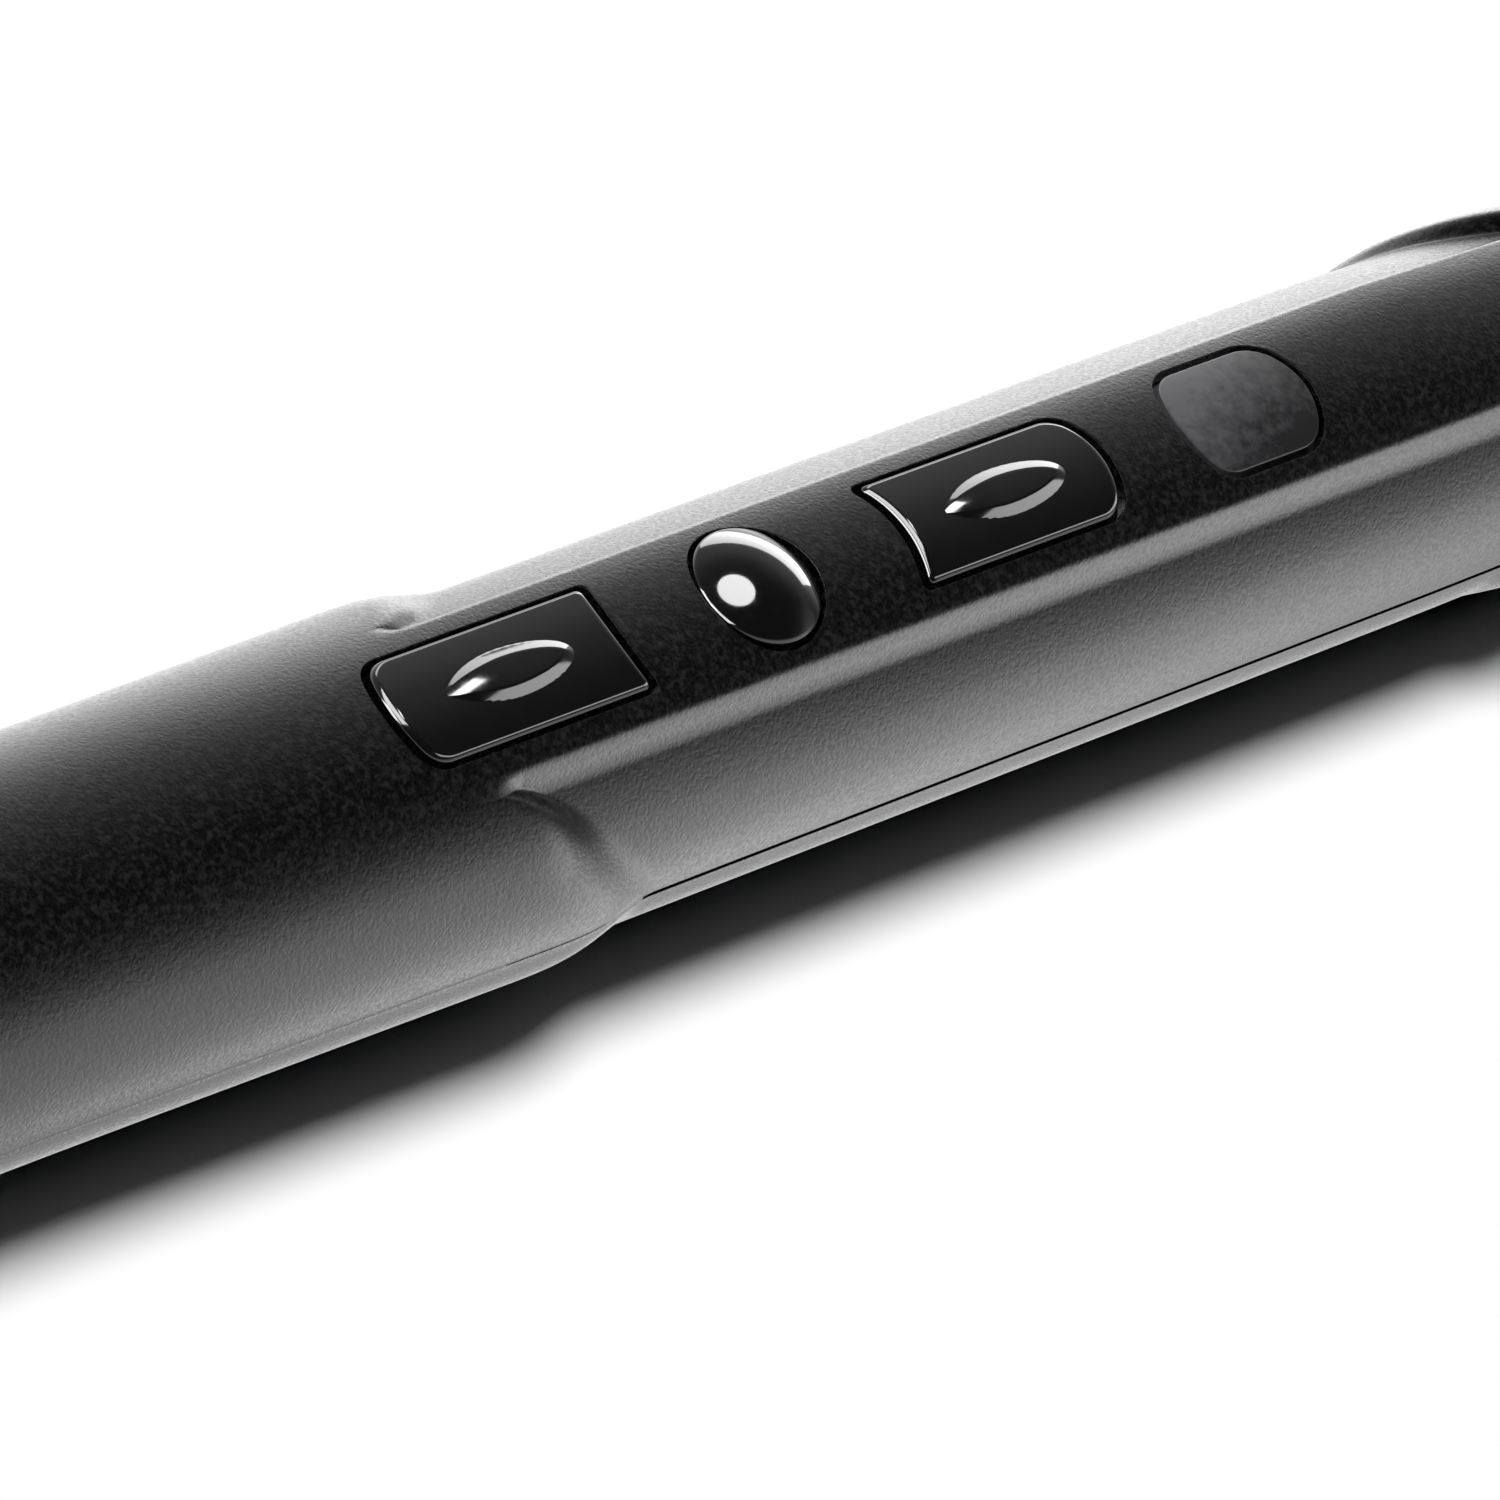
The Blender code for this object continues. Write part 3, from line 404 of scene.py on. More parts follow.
def tailFoot(angle):  # the tail-end step stands upright down the side, then slants back to the panel
    side = step["noseTop"] + step["run"]
    return 2.0 * step["middle"] - side + step["run"] * (1.0 - stepSlant(angle)) * step["tailSlant"]


def stepLength(angle, tail):  # the step is short under the panel's edge and long down the side
    side, start, swing = step["tailSide"] if tail else step["noseSide"]
    length = step["tailLength"] if tail else step["length"]
    grow = step["tailTopLength"] if tail else step["topLength"]
    length += grow * smooth((step["topAngle"] - angle) / step["topSwing"])
    return length + side * smooth((start - angle) / swing)


def scoopShare(x, angle):  # none on the round tube, all of the scoop along the waist
    fromNose = (x - stepFoot(angle)) / stepLength(angle, False)
    fromTail = (tailFoot(angle) - x) / stepLength(angle, True)
    return softer(max(0.0, min(fromNose, fromTail) + 1.0) ** step["ease"])


def flareRise(x, angle):  # the tube swells a little ahead of the grip, below its key panel
    if x > step["middle"]:
        return 0.0
    around = smooth((flare["top"] - angle) / flare["topSwing"])
    around *= smooth((angle - flare["low"]) / flare["lowSwing"])
    return flare["rise"] * softRamp(x - flare["station"], flare["soft"]) * around


def seamGroove(x, angle):  # eased edges of the two halves; on the grip the seam runs a little lower
    if abs(angle) >= seam["reachAngle"]:
        return 0.0
    height = math.radians(angle) * wand["radius"]
    share = scoopShare(x, angle)
    tube = seam["depth"] * (1.0 - share) * (1.0 - smooth(abs(height) / seam["halfWidth"]))
    lower = abs(height - seam["waistHeight"])
    return tube + seam["waistDepth"] * share * (1.0 - smooth(lower / seam["halfWidth"]))


def bodyRadius(x, angle, inset):
    share = scoopShare(x, angle)
    return tubeRadius(x, inset) - share * scoopDepth(angle) + (1.0 - share) * flareRise(x, angle)


def bodyRows(inset, kind):  # rows from nose to collar, each a function that gives its station by angle
    noseRows, stepRows = tubeRows["nose"][kind], tubeRows["step"][kind]
    rows = []

    def straight(x):
        rows.append(lambda angle: x)

    def slanted(along, tail):
        if tail:
            rows.append(lambda angle: tailFoot(angle) + stepLength(angle, True) * (1.0 - along))
        else:
            rows.append(lambda angle: stepFoot(angle) - stepLength(angle, False) * (1.0 - along))

    for i in range(1, noseRows + 1):  # rows close up towards the tip
        reach = 1.0 - math.cos(math.pi / 2.0 * i / noseRows)
        straight(wand["noseEnd"] + inset + (wand["noseRound"] - inset) * reach)
    flareEnd = step["noseTop"] - tubeRows["flareEnd"]
    for x in spread(flare["station"] - flare["soft"], flareEnd, tubeRows["flare"]):
        straight(x)
    places = tubeRows["before"] + spread(0.0, 1.0, stepRows) + tubeRows["after"]
    for along in places:
        slanted(along, False)
    waistEnd = tubeRows["waistEnd"]
    for x in spread(-waistEnd, 2.0 * step["middle"] + waistEnd, tubeRows["waist"]):
        straight(x)
    for along in reversed(places):
        slanted(along, True)
    shoulder = wand["collarStart"] - tubeRows["shoulder"] - inset
    for x in spread(step["tailEnd"], shoulder, tubeRows["tail"]):
        straight(x)
    return rows


def bodyAngles(kind):  # columns from the top down one side, closest at the panel's edge and the seam
    flatAngle = math.degrees(math.asin(wand["flat"] / wand["radius"]))
    panelEnd = edgeAngle + tubeColumns["panelPast"]
    wallEnd = grip["footAngle"] - tubeColumns["footPast"]
    angles = spread(90.0, panelEnd, tubeColumns["panel"][kind])[:-1]
    angles += spread(panelEnd, wallEnd, tubeColumns["wall"][kind])[:-1]
    angles += spread(wallEnd, tubeColumns["sideEnd"], tubeColumns["side"][kind])
    if kind == 0:
        angles += spread(*tubeColumns["seamSpan"], tubeColumns["seam"])
    return angles + spread(tubeColumns["lowStart"], flatAngle, tubeColumns["low"][kind])


def tubeSolid(name, inset):  # the outside, or with an inset the bore, as one closed form
    kind = 0 if inset == 0.0 else 1
    half = bodyAngles(kind)
    columns = [(angle, 1.0) for angle in half] + [(angle, -1.0) for angle in half[:0:-1]]
    rows = bodyRows(inset, kind)
    shoulder = wand["collarStart"] - inset
    edge = tubeRadius(wand["collarStart"]) - inset - tubeRows["shoulderEdge"]
    collar = wand["collarRadius"] - inset
    for x, radius in ((shoulder, edge), (shoulder, collar), (wand["collarEnd"] + inset, collar)):
        rows.append((x, radius))
    bm = bmesh.new()
    loops = []
    for row in rows:
        loop = []
        for angle, side in columns:
            if callable(row):
                x = row(angle)
                radius = bodyRadius(x, angle, inset)
                if kind == 0:
                    radius -= seamGroove(x, angle)
            else:
                x, radius = row
            turn = math.radians(angle)
            loop.append((x, radius * math.cos(turn) * side, radius * math.sin(turn)))
        loops.append(loop)
    rings = loftLoops(bm, loops)
    bm.faces.new(rings[-1])
    tip = bm.verts.new((wand["noseEnd"] + inset, 0.0, 0.0))
    for i in range(len(columns)):
        bm.faces.new((tip, rings[0][i], rings[0][(i + 1) % len(columns)]))
    return addPiece(name, bm)


# nudges for measuring the form, and the limits of the faces that take their shading from it
skin = {"nudge": 0.00004, "turnNudge": 0.15, "tip": 0.004, "shoulder": 0.001, "lowest": -68.0,
        "offBy": 0.00003, "facing": 0.8}


def skinRadius(x, angle):
    return bodyRadius(x, angle, 0.0) - seamGroove(x, angle)


def skinNormal(x, angle, side):
    nudge, turnNudge = skin["nudge"], skin["turnNudge"]
    slope = (skinRadius(x + nudge, angle) - skinRadius(x - nudge, angle)) / (2.0 * nudge)
    twist = skinRadius(x, angle + turnNudge) - skinRadius(x, angle - turnNudge)
    twist /= 2.0 * math.radians(turnNudge) * skinRadius(x, angle)
    turn = math.radians(angle)
    across = (math.cos(turn) + twist * math.sin(turn)) * side
    return Vector((-slope, across, math.sin(turn) - twist * math.cos(turn))).normalized()


def smoothSkin(piece):  # the outside's shading normals come from its form, so cuts leave no streaks
    mesh = piece.data
    normals = [Vector(corner.vector) for corner in mesh.corner_normals]
    for face in mesh.polygons:
        found = []
        for corner in face.loop_indices:
            x, y, z = mesh.vertices[mesh.loops[corner].vertex_index].co
            angle = math.degrees(math.atan2(z, abs(y)))
            if abs(y) + abs(z) < skin["tip"] or x > wand["collarStart"] - skin["shoulder"]:
                break
            if angle < skin["lowest"] or abs(math.hypot(y, z) - skinRadius(x, angle)) > skin["offBy"]:
                break
            normal = skinNormal(x, angle, 1.0 if y >= 0.0 else -1.0)
            if normal.dot(face.normal) < skin["facing"]:
                break
            found.append((corner, normal))
        if len(found) == face.loop_total:
            for corner, normal in found:
                normals[corner] = normal
    mesh.normals_split_custom_set(normals)


def boxTool(name, size, location):
    bm = bmesh.new()
    bmesh.ops.create_cube(bm, size=1.0)
    bmesh.ops.scale(bm, vec=size, verts=bm.verts)
    return addPiece(name, bm, location)


# plans of the keys and the window: rows of points along X, one row for each Y

keyPlan = {"half": 0.00480, "innerArc": 0.01570, "outerEnd": 0.03745, "noseInnerArc": 0.01545,
           "noseOuterEnd": 0.03825, "outerArc": 0.00815, "corner": 0.00255, "innerRound": 0.00065,
           "gap": 0.00035, "endGap": 0.00040, "endEase": 0.00028, "topRadius": 0.0152, "foot": 0.0109,
           "edge": 0.00036, "flange": 0.0007, "flangeRadius": 0.0132, "edgeStart": 0.30}
windowPlan = {"station": 0.0534, "halfLength": 0.0071, "half": 0.0049, "endArc": 0.0068, "corner": 0.0032,
              "topRadius": 0.01495, "edge": 0.00015, "gap": 0.0005}
dome = {"radius": 0.00535, "ball": 0.0090, "top": 0.0163, "edge": 0.00055, "gap": 0.00035,
        "holeSides": 72, "sides": 96, "ballSteps": 20, "edgeSteps": 8, "sharp": 60.0}
opening = {"edge": 0.00018, "edgeTurn": (0.4, 1.5), "above": 0.0004, "low": 0.0075, "high": 0.0190}
planSteps = {"corner": 9, "end": 16, "key": 16, "window": 12, "edge": 6, "holeEdge": 3}
plateSharp = 50.0  # degrees above which an edge of a key or the window is shaded as an edge


def roundEnd(half, end, outer, corner):  # the outer end from its -Y side to its +Y side
    centre = end - outer
    cornerY = half - corner
    cornerX = centre + math.sqrt((outer - corner) ** 2 - cornerY ** 2)
    turn = math.atan2(cornerY, cornerX - centre)
    points = arcPoints(cornerX, -cornerY, corner, -math.pi / 2.0, -turn, planSteps["corner"])
    points += arcPoints(centre, 0.0, outer, -turn, turn, planSteps["end"])[1:]
    return points + arcPoints(cornerX, cornerY, corner, turn, math.pi / 2.0, planSteps["corner"])[1:]


def dRows(grow, inner, end):  # a thumb key: its inner end follows a circle round the dome key
    half = keyPlan["half"] + grow
    inner -= grow
    small = keyPlan["innerRound"] + grow
    rows = []
    for x, y in roundEnd(half, end + grow, keyPlan["outerArc"] + grow, keyPlan["corner"] + grow):
        start = math.sqrt(inner ** 2 - y ** 2)
        past = max(0.0, abs(y) - (half - small))
        start += small - math.sqrt(max(0.0, small ** 2 - past ** 2))
        rows.append([(start + (x - start) * t, y) for t in spread(0.0, 1.0, planSteps["key"])])
    return rows


def keyRows(grow, ends=0.0):
    return dRows(grow, keyPlan["innerArc"] - ends, keyPlan["outerEnd"] + ends)


def noseKeyRows(grow, ends=0.0):
    rows = dRows(grow, keyPlan["noseInnerArc"] - ends, keyPlan["noseOuterEnd"] + ends)
    return [[(-x, y) for x, y in row] for row in rows]


def windowRows(grow, ends=0.0):
    rows = []
    for x, y in roundEnd(windowPlan["half"] + grow, windowPlan["halfLength"] + grow + ends,
                         windowPlan["endArc"] + grow, windowPlan["corner"] + grow):
        rows.append([(windowPlan["station"] + x * t, y) for t in spread(-1.0, 1.0, planSteps["window"])])
    return rows


def rimOf(rows):  # once round the outside of a plan
    rim = list(rows[0])
    rim += [row[-1] for row in rows[1:]]
    rim += list(reversed(rows[-1]))[1:]
    rim += [row[0] for row in reversed(rows[1:-1])]
    return rim


def crownHeight(radius, y):
    return math.sqrt(radius ** 2 - y ** 2)


def openingTool(name, rim, gap):  # an upright cutter that eases its hole's edge along the panel's curve
    edge = opening["edge"]
    levels = [(gap, None, opening["low"]), (gap, -edge, None)]
    for a in spread(*opening["edgeTurn"], planSteps["holeEdge"]):
        levels.append((gap + edge * (1.0 - math.cos(a)), edge * (math.sin(a) - 1.0), None))
    levels += [(gap + edge, opening["above"], None), (gap + edge, None, opening["high"])]
    loops = []
    for grow, rise, height in levels:
        loops.append([(x, y, height if rise is None else crownHeight(wand["radius"], y) + rise)
                      for x, y in rim(grow)])
    bm = bmesh.new()
    loftLoops(bm, loops, True)
    return addPiece(name, bm)


def plateMesh(bm, plan, topRadius, edge, endEase=0.0):  # flange, upright sides, eased edge and curved top
    flange, flangeRadius = keyPlan["flange"], keyPlan["flangeRadius"]
    levels = [(flange, 0.0, None, keyPlan["foot"]), (flange, 0.0, flangeRadius, 0.0),
              (0.0, 0.0, flangeRadius, 0.0), (0.0, 0.0, topRadius, -edge)]
    for a in spread(keyPlan["edgeStart"], math.pi / 2.0, planSteps["edge"]):
        inset = 1.0 - math.cos(a)
        levels.append((-edge * inset, -endEase * inset, topRadius, edge * (math.sin(a) - 1.0)))
    loops = []
    for grow, ends, radius, rise in levels:
        loops.append([(x, y, rise if radius is None else crownHeight(radius, y) + rise)
                      for x, y in rimOf(plan(grow, ends))])
    rings = loftLoops(bm, loops)
    bm.faces.new(rings[0])
    top = plan(-edge, -endEase)
    fillGrid(bm, [[bm.verts.new((x, y, crownHeight(topRadius, y))) for x, y in row] for row in top])
    bmesh.ops.remove_doubles(bm, verts=bm.verts, dist=weld["plate"])


leaf = {"station": 0.02645, "halfLength": 0.0066, "halfWidth": 0.0022, "slope": 0.00098,
        "height": 0.00035, "edge": 0.00010, "footEdge": 0.00003, "sink": 0.00002, "ramp": 0.0058,
        "point": 0.80, "blunt": 0.50, "rimSteps": 240, "longSteps": 110, "wideSteps": 44}


def leafHalf(x):  # half the leaf's width: a blunt end towards the tail, a slimmer one towards the nose
    along = min(1.0, abs(x) / leaf["halfLength"])
    return leaf["halfWidth"] * (1.0 - along ** 2) ** (leaf["point"] if x < 0.0 else leaf["blunt"])


def leafStations(count):  # closer together towards both ends
    return [leaf["halfLength"] * math.sin(u * math.pi / 2.0) for u in spread(-1.0, 1.0, count)]


def leafMesh(bm, station):  # raised leaf: sloped sides, a small flat top and a ramp at the slimmer end
    slope, steepness = leaf["slope"], leaf["height"] / leaf["slope"]
    rim = [(x, leafHalf(x)) for x in leafStations(leaf["rimSteps"])]
    grid = []
    for x in leafStations(leaf["longSteps"]):
        ramp = leaf["height"] * (1.0 - max(0.0, 1.0 - (x + leaf["halfLength"]) / leaf["ramp"]) ** 2)
        row = []
        for v in spread(-1.0, 1.0, leaf["wideSteps"]):
            y = leafHalf(x) * v
            inside = min(math.hypot(x - a, abs(y) - b) for a, b in rim)
            rise = softRamp(inside, leaf["footEdge"]) - softRamp(inside - slope, leaf["edge"])
            height = crownHeight(keyPlan["topRadius"], y) + min(steepness * rise, ramp) - leaf["sink"]
            row.append(bm.verts.new((station + x, y, height)))
        grid.append(row)
    fillGrid(bm, grid)
    bmesh.ops.remove_doubles(bm, verts=grid[0] + grid[-1], dist=weld["plate"])


def splitTool(name, side):  # clears one side of the seam: a hairline, but wider and lower on the grip
    ends = (wand["noseEnd"] - wand["radius"], *seam["stations"], wand["buttEnd"] + wand["radius"])
    gaps = [(seam["gap"], 0.0), (seam["endGap"], 0.0), (seam["gap"], 0.0)]
    gaps += [(seam["waistGap"], seam["waistHeight"])] + gaps[::-1]
    past = wand["radius"] * 1.5
    line = []
    for i, (gap, height) in enumerate(gaps):
        level = height + side * gap / 2.0
        line += [(ends[i], level), (ends[i + 1], level)]
    line += [(ends[-1], -side * past), (ends[0], -side * past)]
    bm = bmesh.new()
    loftLoops(bm, [[(x, y, z) for x, z in line] for y in (-past, past)], True)
    return addPiece(name, bm)


def makeShells():
    tube = tubeSolid("tubeForm", 0.0)
    cutWith(tube, tubeSolid("tubeBore", wand["wall"]))
    shells = {}
    for name, side in (("upperHousing", 1.0), ("lowerHousing", -1.0)):
        shell = bpy.data.objects.new(name, tube.data.copy())
        shell.location = home
        bpy.context.scene.collection.objects.link(shell)
        cutWith(shell, splitTool(name + "Split", side))
        shells[name] = shell
    bpy.data.objects.remove(tube, do_unlink=True)
    return shells["upperHousing"], shells["lowerHousing"]


upperHousing, lowerHousing = makeShells()
print("shells lofted and split")
openings = {
    "tailOpening": (lambda grow: rimOf(keyRows(grow, keyPlan["endGap"])), keyPlan["gap"]),
    "noseOpening": (lambda grow: rimOf(noseKeyRows(grow, keyPlan["endGap"])), keyPlan["gap"]),
    "windowOpening": (lambda grow: rimOf(windowRows(grow)), windowPlan["gap"]),
    "domeOpening": (lambda grow: circlePoints(0.0, 0.0, dome["radius"] + grow, dome["holeSides"]),
                    dome["gap"]),
}
for name, (rim, gap) in openings.items():
    cutWith(upperHousing, openingTool(name, rim, gap))
smoothSkin(upperHousing)
wear(upperHousing, finishes["shell"])
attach(upperHousing, "housing")
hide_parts("upper_shell")
print("panel openings cut")

underside = {"screwStations": (-0.2660, -0.1860, -0.1060, -0.0460), "headBore": 0.0026,
             "boreEdge": 0.00020, "headSeat": -0.0090, "boss": 0.0032, "grilleStation": -0.0760,
             "grilleHole": 0.0008, "grilleRing": 0.0030, "grilleCount": 6, "grilleTop": 0.0035,
             "clearance": 0.0003, "bossFoot": 0.0007, "bossSides": 32, "boreSides": 40, "grilleSides": 20}


def boreLoops(bm, x, y, radius, top, sides):  # a round hole up from the flat, with its mouth eased
    edge, low = underside["boreEdge"], wand["flat"]
    levels = ((radius + edge * 3.0, low - edge * 2.0), (radius + edge, low), (radius, low + edge),
              (radius, top))
    loops = []
    for size, height in levels:
        loops.append([(*point, height) for point in circlePoints(x, y, size, sides)])
    loftLoops(bm, loops, True)


def finishUnderside():
    bm = bmesh.new()
    for x in underside["screwStations"]:
        outline = circlePoints(x, 0.0, underside["boss"], underside["bossSides"])
        heights = (wand["flat"] + underside["bossFoot"], -seam["gap"])
        loftLoops(bm, [[(*point, height) for point in outline] for height in heights], True)
    cutWith(lowerHousing, addPiece("footBosses", bm), "UNION")
    bm = bmesh.new()
    for x in underside["screwStations"]:
        boreLoops(bm, x, 0.0, underside["headBore"], underside["headSeat"], underside["boreSides"])
    spots = [(underside["grilleStation"], 0.0)]
    for a in spread(0.0, 2.0 * math.pi, underside["grilleCount"])[:-1]:
        spots.append((underside["grilleStation"] + underside["grilleRing"] * math.cos(a),
                      underside["grilleRing"] * math.sin(a)))
    top = wand["flat"] + underside["grilleTop"]
    for x, y in spots:
        boreLoops(bm, x, y, underside["grilleHole"], top, underside["grilleSides"])
    cutWith(lowerHousing, addPiece("undersideHoles", bm))


finishUnderside()
smoothSkin(lowerHousing)
wear(lowerHousing, finishes["shell"])
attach(lowerHousing, "housing")
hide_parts("lower_shell")
print("underside holes cut")


# keys and window

def settleTop(piece, topRadius):  # the crowned top keeps its own shading normals beside its eased edge
    mesh = piece.data
    normals = [Vector(corner.vector) for corner in mesh.corner_normals]
    for face in mesh.polygons:
        points = [mesh.vertices[i].co for i in face.vertices]
        if all(abs(point.z - crownHeight(topRadius, point.y)) < weld["onTop"] for point in points):
            for corner, point in zip(face.loop_indices, points):
                normals[corner] = Vector((0.0, point.y, point.z)).normalized()
    mesh.normals_split_custom_set(normals)


def placeKey(name, plan, station, body, node):
    bm = bmesh.new()
    plateMesh(bm, plan, keyPlan["topRadius"], keyPlan["edge"], keyPlan["endEase"])
    leafMesh(bm, station)
    piece = bakePiece(addPiece(name, bm), plateSharp)
    settleTop(piece, keyPlan["topRadius"])
    wear(piece, finishes["key"])
    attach(piece, body)
    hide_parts(node)
    return piece


placeKey("tailKeyCap", keyRows, leaf["station"], "tail_key", "tail_key")
placeKey("noseKeyCap", noseKeyRows, -leaf["station"], "nose_key", "nose_key")


def placeDome():
    bm = bmesh.new()
    radius, edge, ball = dome["radius"], dome["edge"], dome["ball"]
    centre = dome["top"] - ball
    swing = math.asin((radius - edge) / (ball - edge))
    profile = []
    for a in spread(0.0, swing, dome["ballSteps"]):
        profile.append((ball * math.sin(a), centre + ball * math.cos(a)))
    rimHeight = profile[-1][1] - edge * math.cos(swing)
    for a in spread(swing, math.pi / 2.0, dome["edgeSteps"])[1:]:
        profile.append((radius - edge + edge * math.sin(a), rimHeight + edge * math.cos(a)))
    profile += [(radius, keyPlan["foot"]), (0.0, keyPlan["foot"])]
    turnProfile(bm, profile, dome["sides"])
    piece = bakePiece(addPiece("domeKeyCap", bm), dome["sharp"])
    wear(piece, finishes["key"])
    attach(piece, "dome_key")
    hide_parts("dome_key")


placeDome()


def placeWindow():
    bm = bmesh.new()
    plateMesh(bm, windowRows, windowPlan["topRadius"], windowPlan["edge"])
    piece = bakePiece(addPiece("windowPane", bm), plateSharp)
    settleTop(piece, windowPlan["topRadius"])
    wear(piece, finishes["window"])
    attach(piece, "housing")
    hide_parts("alarm_window")


placeWindow()
print("keys and window placed")

# battery cap, its seal and the screws

cap = {"sealStart": 0.1103, "sealEnd": 0.1113, "sealInner": 0.0103, "sealInset": 0.0002, "rim": 0.1116,
       "bore": 0.0102, "cavity": 0.0055, "cavityStart": 0.1195, "floor": 0.1260, "slotWidth": 0.0022,
       "slotDepth": 0.0030, "rimEdge": 0.00025, "rimEase": 0.3, "tipTrim": 0.00015, "sides": 96,
       "steps": 24, "sealSteps": 10}


def placeCap():
    bm = bmesh.new()
    profile = []
    start = cap["rim"] + cap["rimEdge"]
    reach = wand["buttEnd"] - start
    for i in range(cap["steps"] + 1):
        x = start + reach * math.cos(math.pi / 2.0 * i / cap["steps"])
        profile.append((tubeRadius(x), start + (x - start) * (1.0 - cap["tipTrim"] / reach)))
    rim, ease = tubeRadius(cap["rim"]), cap["rimEdge"] * cap["rimEase"]
    profile += [(rim - ease, cap["rim"] + ease), (rim - cap["rimEdge"], cap["rim"]),
                (cap["bore"], cap["rim"]), (cap["bore"], cap["cavityStart"]),
                (cap["cavity"], cap["cavityStart"]), (cap["cavity"], cap["floor"]), (0.0, cap["floor"])]
    turnProfile(bm, profile, cap["sides"], True)
    piece = addPiece("buttCap", bm)
    slot = boxTool("coinSlot", (cap["slotDepth"] * 2.0, wand["radius"] * 2.0, cap["slotWidth"]),
                   home + Vector((wand["buttEnd"], 0.0, 0.0)))
    cutWith(piece, slot)
    wear(piece, finishes["shell"])
    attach(piece, "battery_cap")
    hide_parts("battery_cap")
    bm = bmesh.new()
    outer = tubeRadius(cap["sealEnd"]) - cap["sealInset"]
    middle = (cap["sealStart"] + cap["sealEnd"]) / 2.0
    half = (cap["sealEnd"] - cap["sealStart"]) / 2.0
    ring = [(cap["sealInner"], middle + half)]
    ring += [(outer - half + half * math.cos(a), middle + half * math.sin(a))
             for a in spread(math.pi / 2.0, -math.pi / 2.0, cap["sealSteps"])]
    ring += [(cap["sealInner"], middle - half), (cap["sealInner"], middle + half)]
    turnProfile(bm, ring, cap["sides"], True)
    piece = bakePiece(addPiece("sealRing", bm))
    wear(piece, finishes["seal"])
    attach(piece, "cap_ring")
    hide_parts("cap_seal")


placeCap()

screw = {"shank": 0.0010, "head": 0.0023, "headThick": 0.0016, "tip": 0.0070, "point": 0.0010,
         "edge": 0.0004, "driveLength": 0.0024, "driveWidth": 0.00055, "driveDepth": 0.0009,
         "thread": 0.00018, "pitch": 0.0008, "threadLow": 0.0005, "sides": 32, "edgeSteps": 4}


def screwProfile(seat, low):
    core, threadTop = screw["shank"] - screw["thread"], screw["tip"] - screw["point"]
    edge, pitch = screw["edge"], screw["pitch"]
    profile = [(0.0, screw["tip"]), (core, threadTop)]
    for turn in range(int((threadTop - screw["threadLow"]) / pitch)):
        height = threadTop - pitch * (turn + 0.5)
        profile += [(screw["shank"], height), (core, height - pitch / 2.0)]
    profile += [(core, seat), (screw["head"], seat)]
    for a in spread(0.0, math.pi / 2.0, screw["edgeSteps"]):
        profile.append((screw["head"] - edge * (1.0 - math.cos(a)), low + edge * (1.0 - math.sin(a))))
    return profile + [(0.0, low)]


def placeScrews():
    seat = underside["headSeat"] - underside["clearance"]
    low = seat - screw["headThick"]
    long, wide, deep = screw["driveLength"], screw["driveWidth"], screw["driveDepth"] * 2.0
    for i, x in enumerate(underside["screwStations"], start=1):
        bm = bmesh.new()
        turnProfile(bm, screwProfile(seat, low), screw["sides"])
        piece = addPiece(f"screw{i}", bm, home + Vector((x, 0.0, 0.0)))
        for size in ((long, wide, deep), (wide, long, deep)):
            cutWith(piece, boxTool("driveSlot", size, home + Vector((x, 0.0, low))))
        wear(piece, finishes["steel"])
        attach(piece, "housing")
        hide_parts(f"shell_screw_{i}")


placeScrews()
print("cap, seal and screws placed")

# inner pieces keep their solids and get their finishes

innerFinishes = {
    "main_board": "board", "nose_switch": "switch", "dome_switch": "switch", "tail_switch": "switch",
    "nose_plunger": "plunger", "dome_plunger": "plunger", "tail_plunger": "plunger", "alarm_led": "lamp",
    "sounder": "switch", "vibration_motor": "steel", "vibration_weight": "steel",
    "battery_sleeve": "switch", "battery_cell": "cell", "front_contact": "steel", "cap_spring": "steel",
    "front_bobbin": "bobbin", "rear_bobbin": "bobbin", "front_coil": "winding", "rear_coil": "winding",
}
for node, use in innerFinishes.items():
    wear(frame["nodes"][node], finishes[use])
print("inner pieces finished")

# floor, light and camera

stage = {"floorSize": 12.0, "floorHeight": -0.0003, "floorColour": (0.86, 0.86, 0.86), "floorRough": 0.9,
         "mottleScale": 6.0, "mottleShare": 0.99, "glow": 2.5, "sideFrom": -0.15, "sideTo": 0.35,
         "nearGlow": ((-52.0, 0.8), (-46.0, 0.92), (-34.0, 1.08), (-18.0, 1.5), (4.0, 1.6), (11.0, 1.6),
                      (20.0, 0.75), (30.0, 0.15), (40.0, 0.04), (90.0, 0.03)),
         "farGlow": ((-40.0, 2.05), (-24.0, 2.15), (-8.0, 2.0), (3.0, 1.55), (11.0, 1.15), (19.0, 0.62),
                     (32.0, 0.5), (42.0, 0.26), (52.0, 0.12), (90.0, 0.03)),
         "darkFrom": 0.83, "darkTo": 0.97, "darkLevel": 0.12,
         "lampToward": (0.0, 0.156, 0.988), "lampDistance": 1.6, "lampSize": 0.58, "lampPower": 30.0,
         "skySize": 2.3, "skyPower": 4.0}
cardBase = {"shape": "RECTANGLE", "distance": 1.5, "spin": 0.0, "station": 0.0}
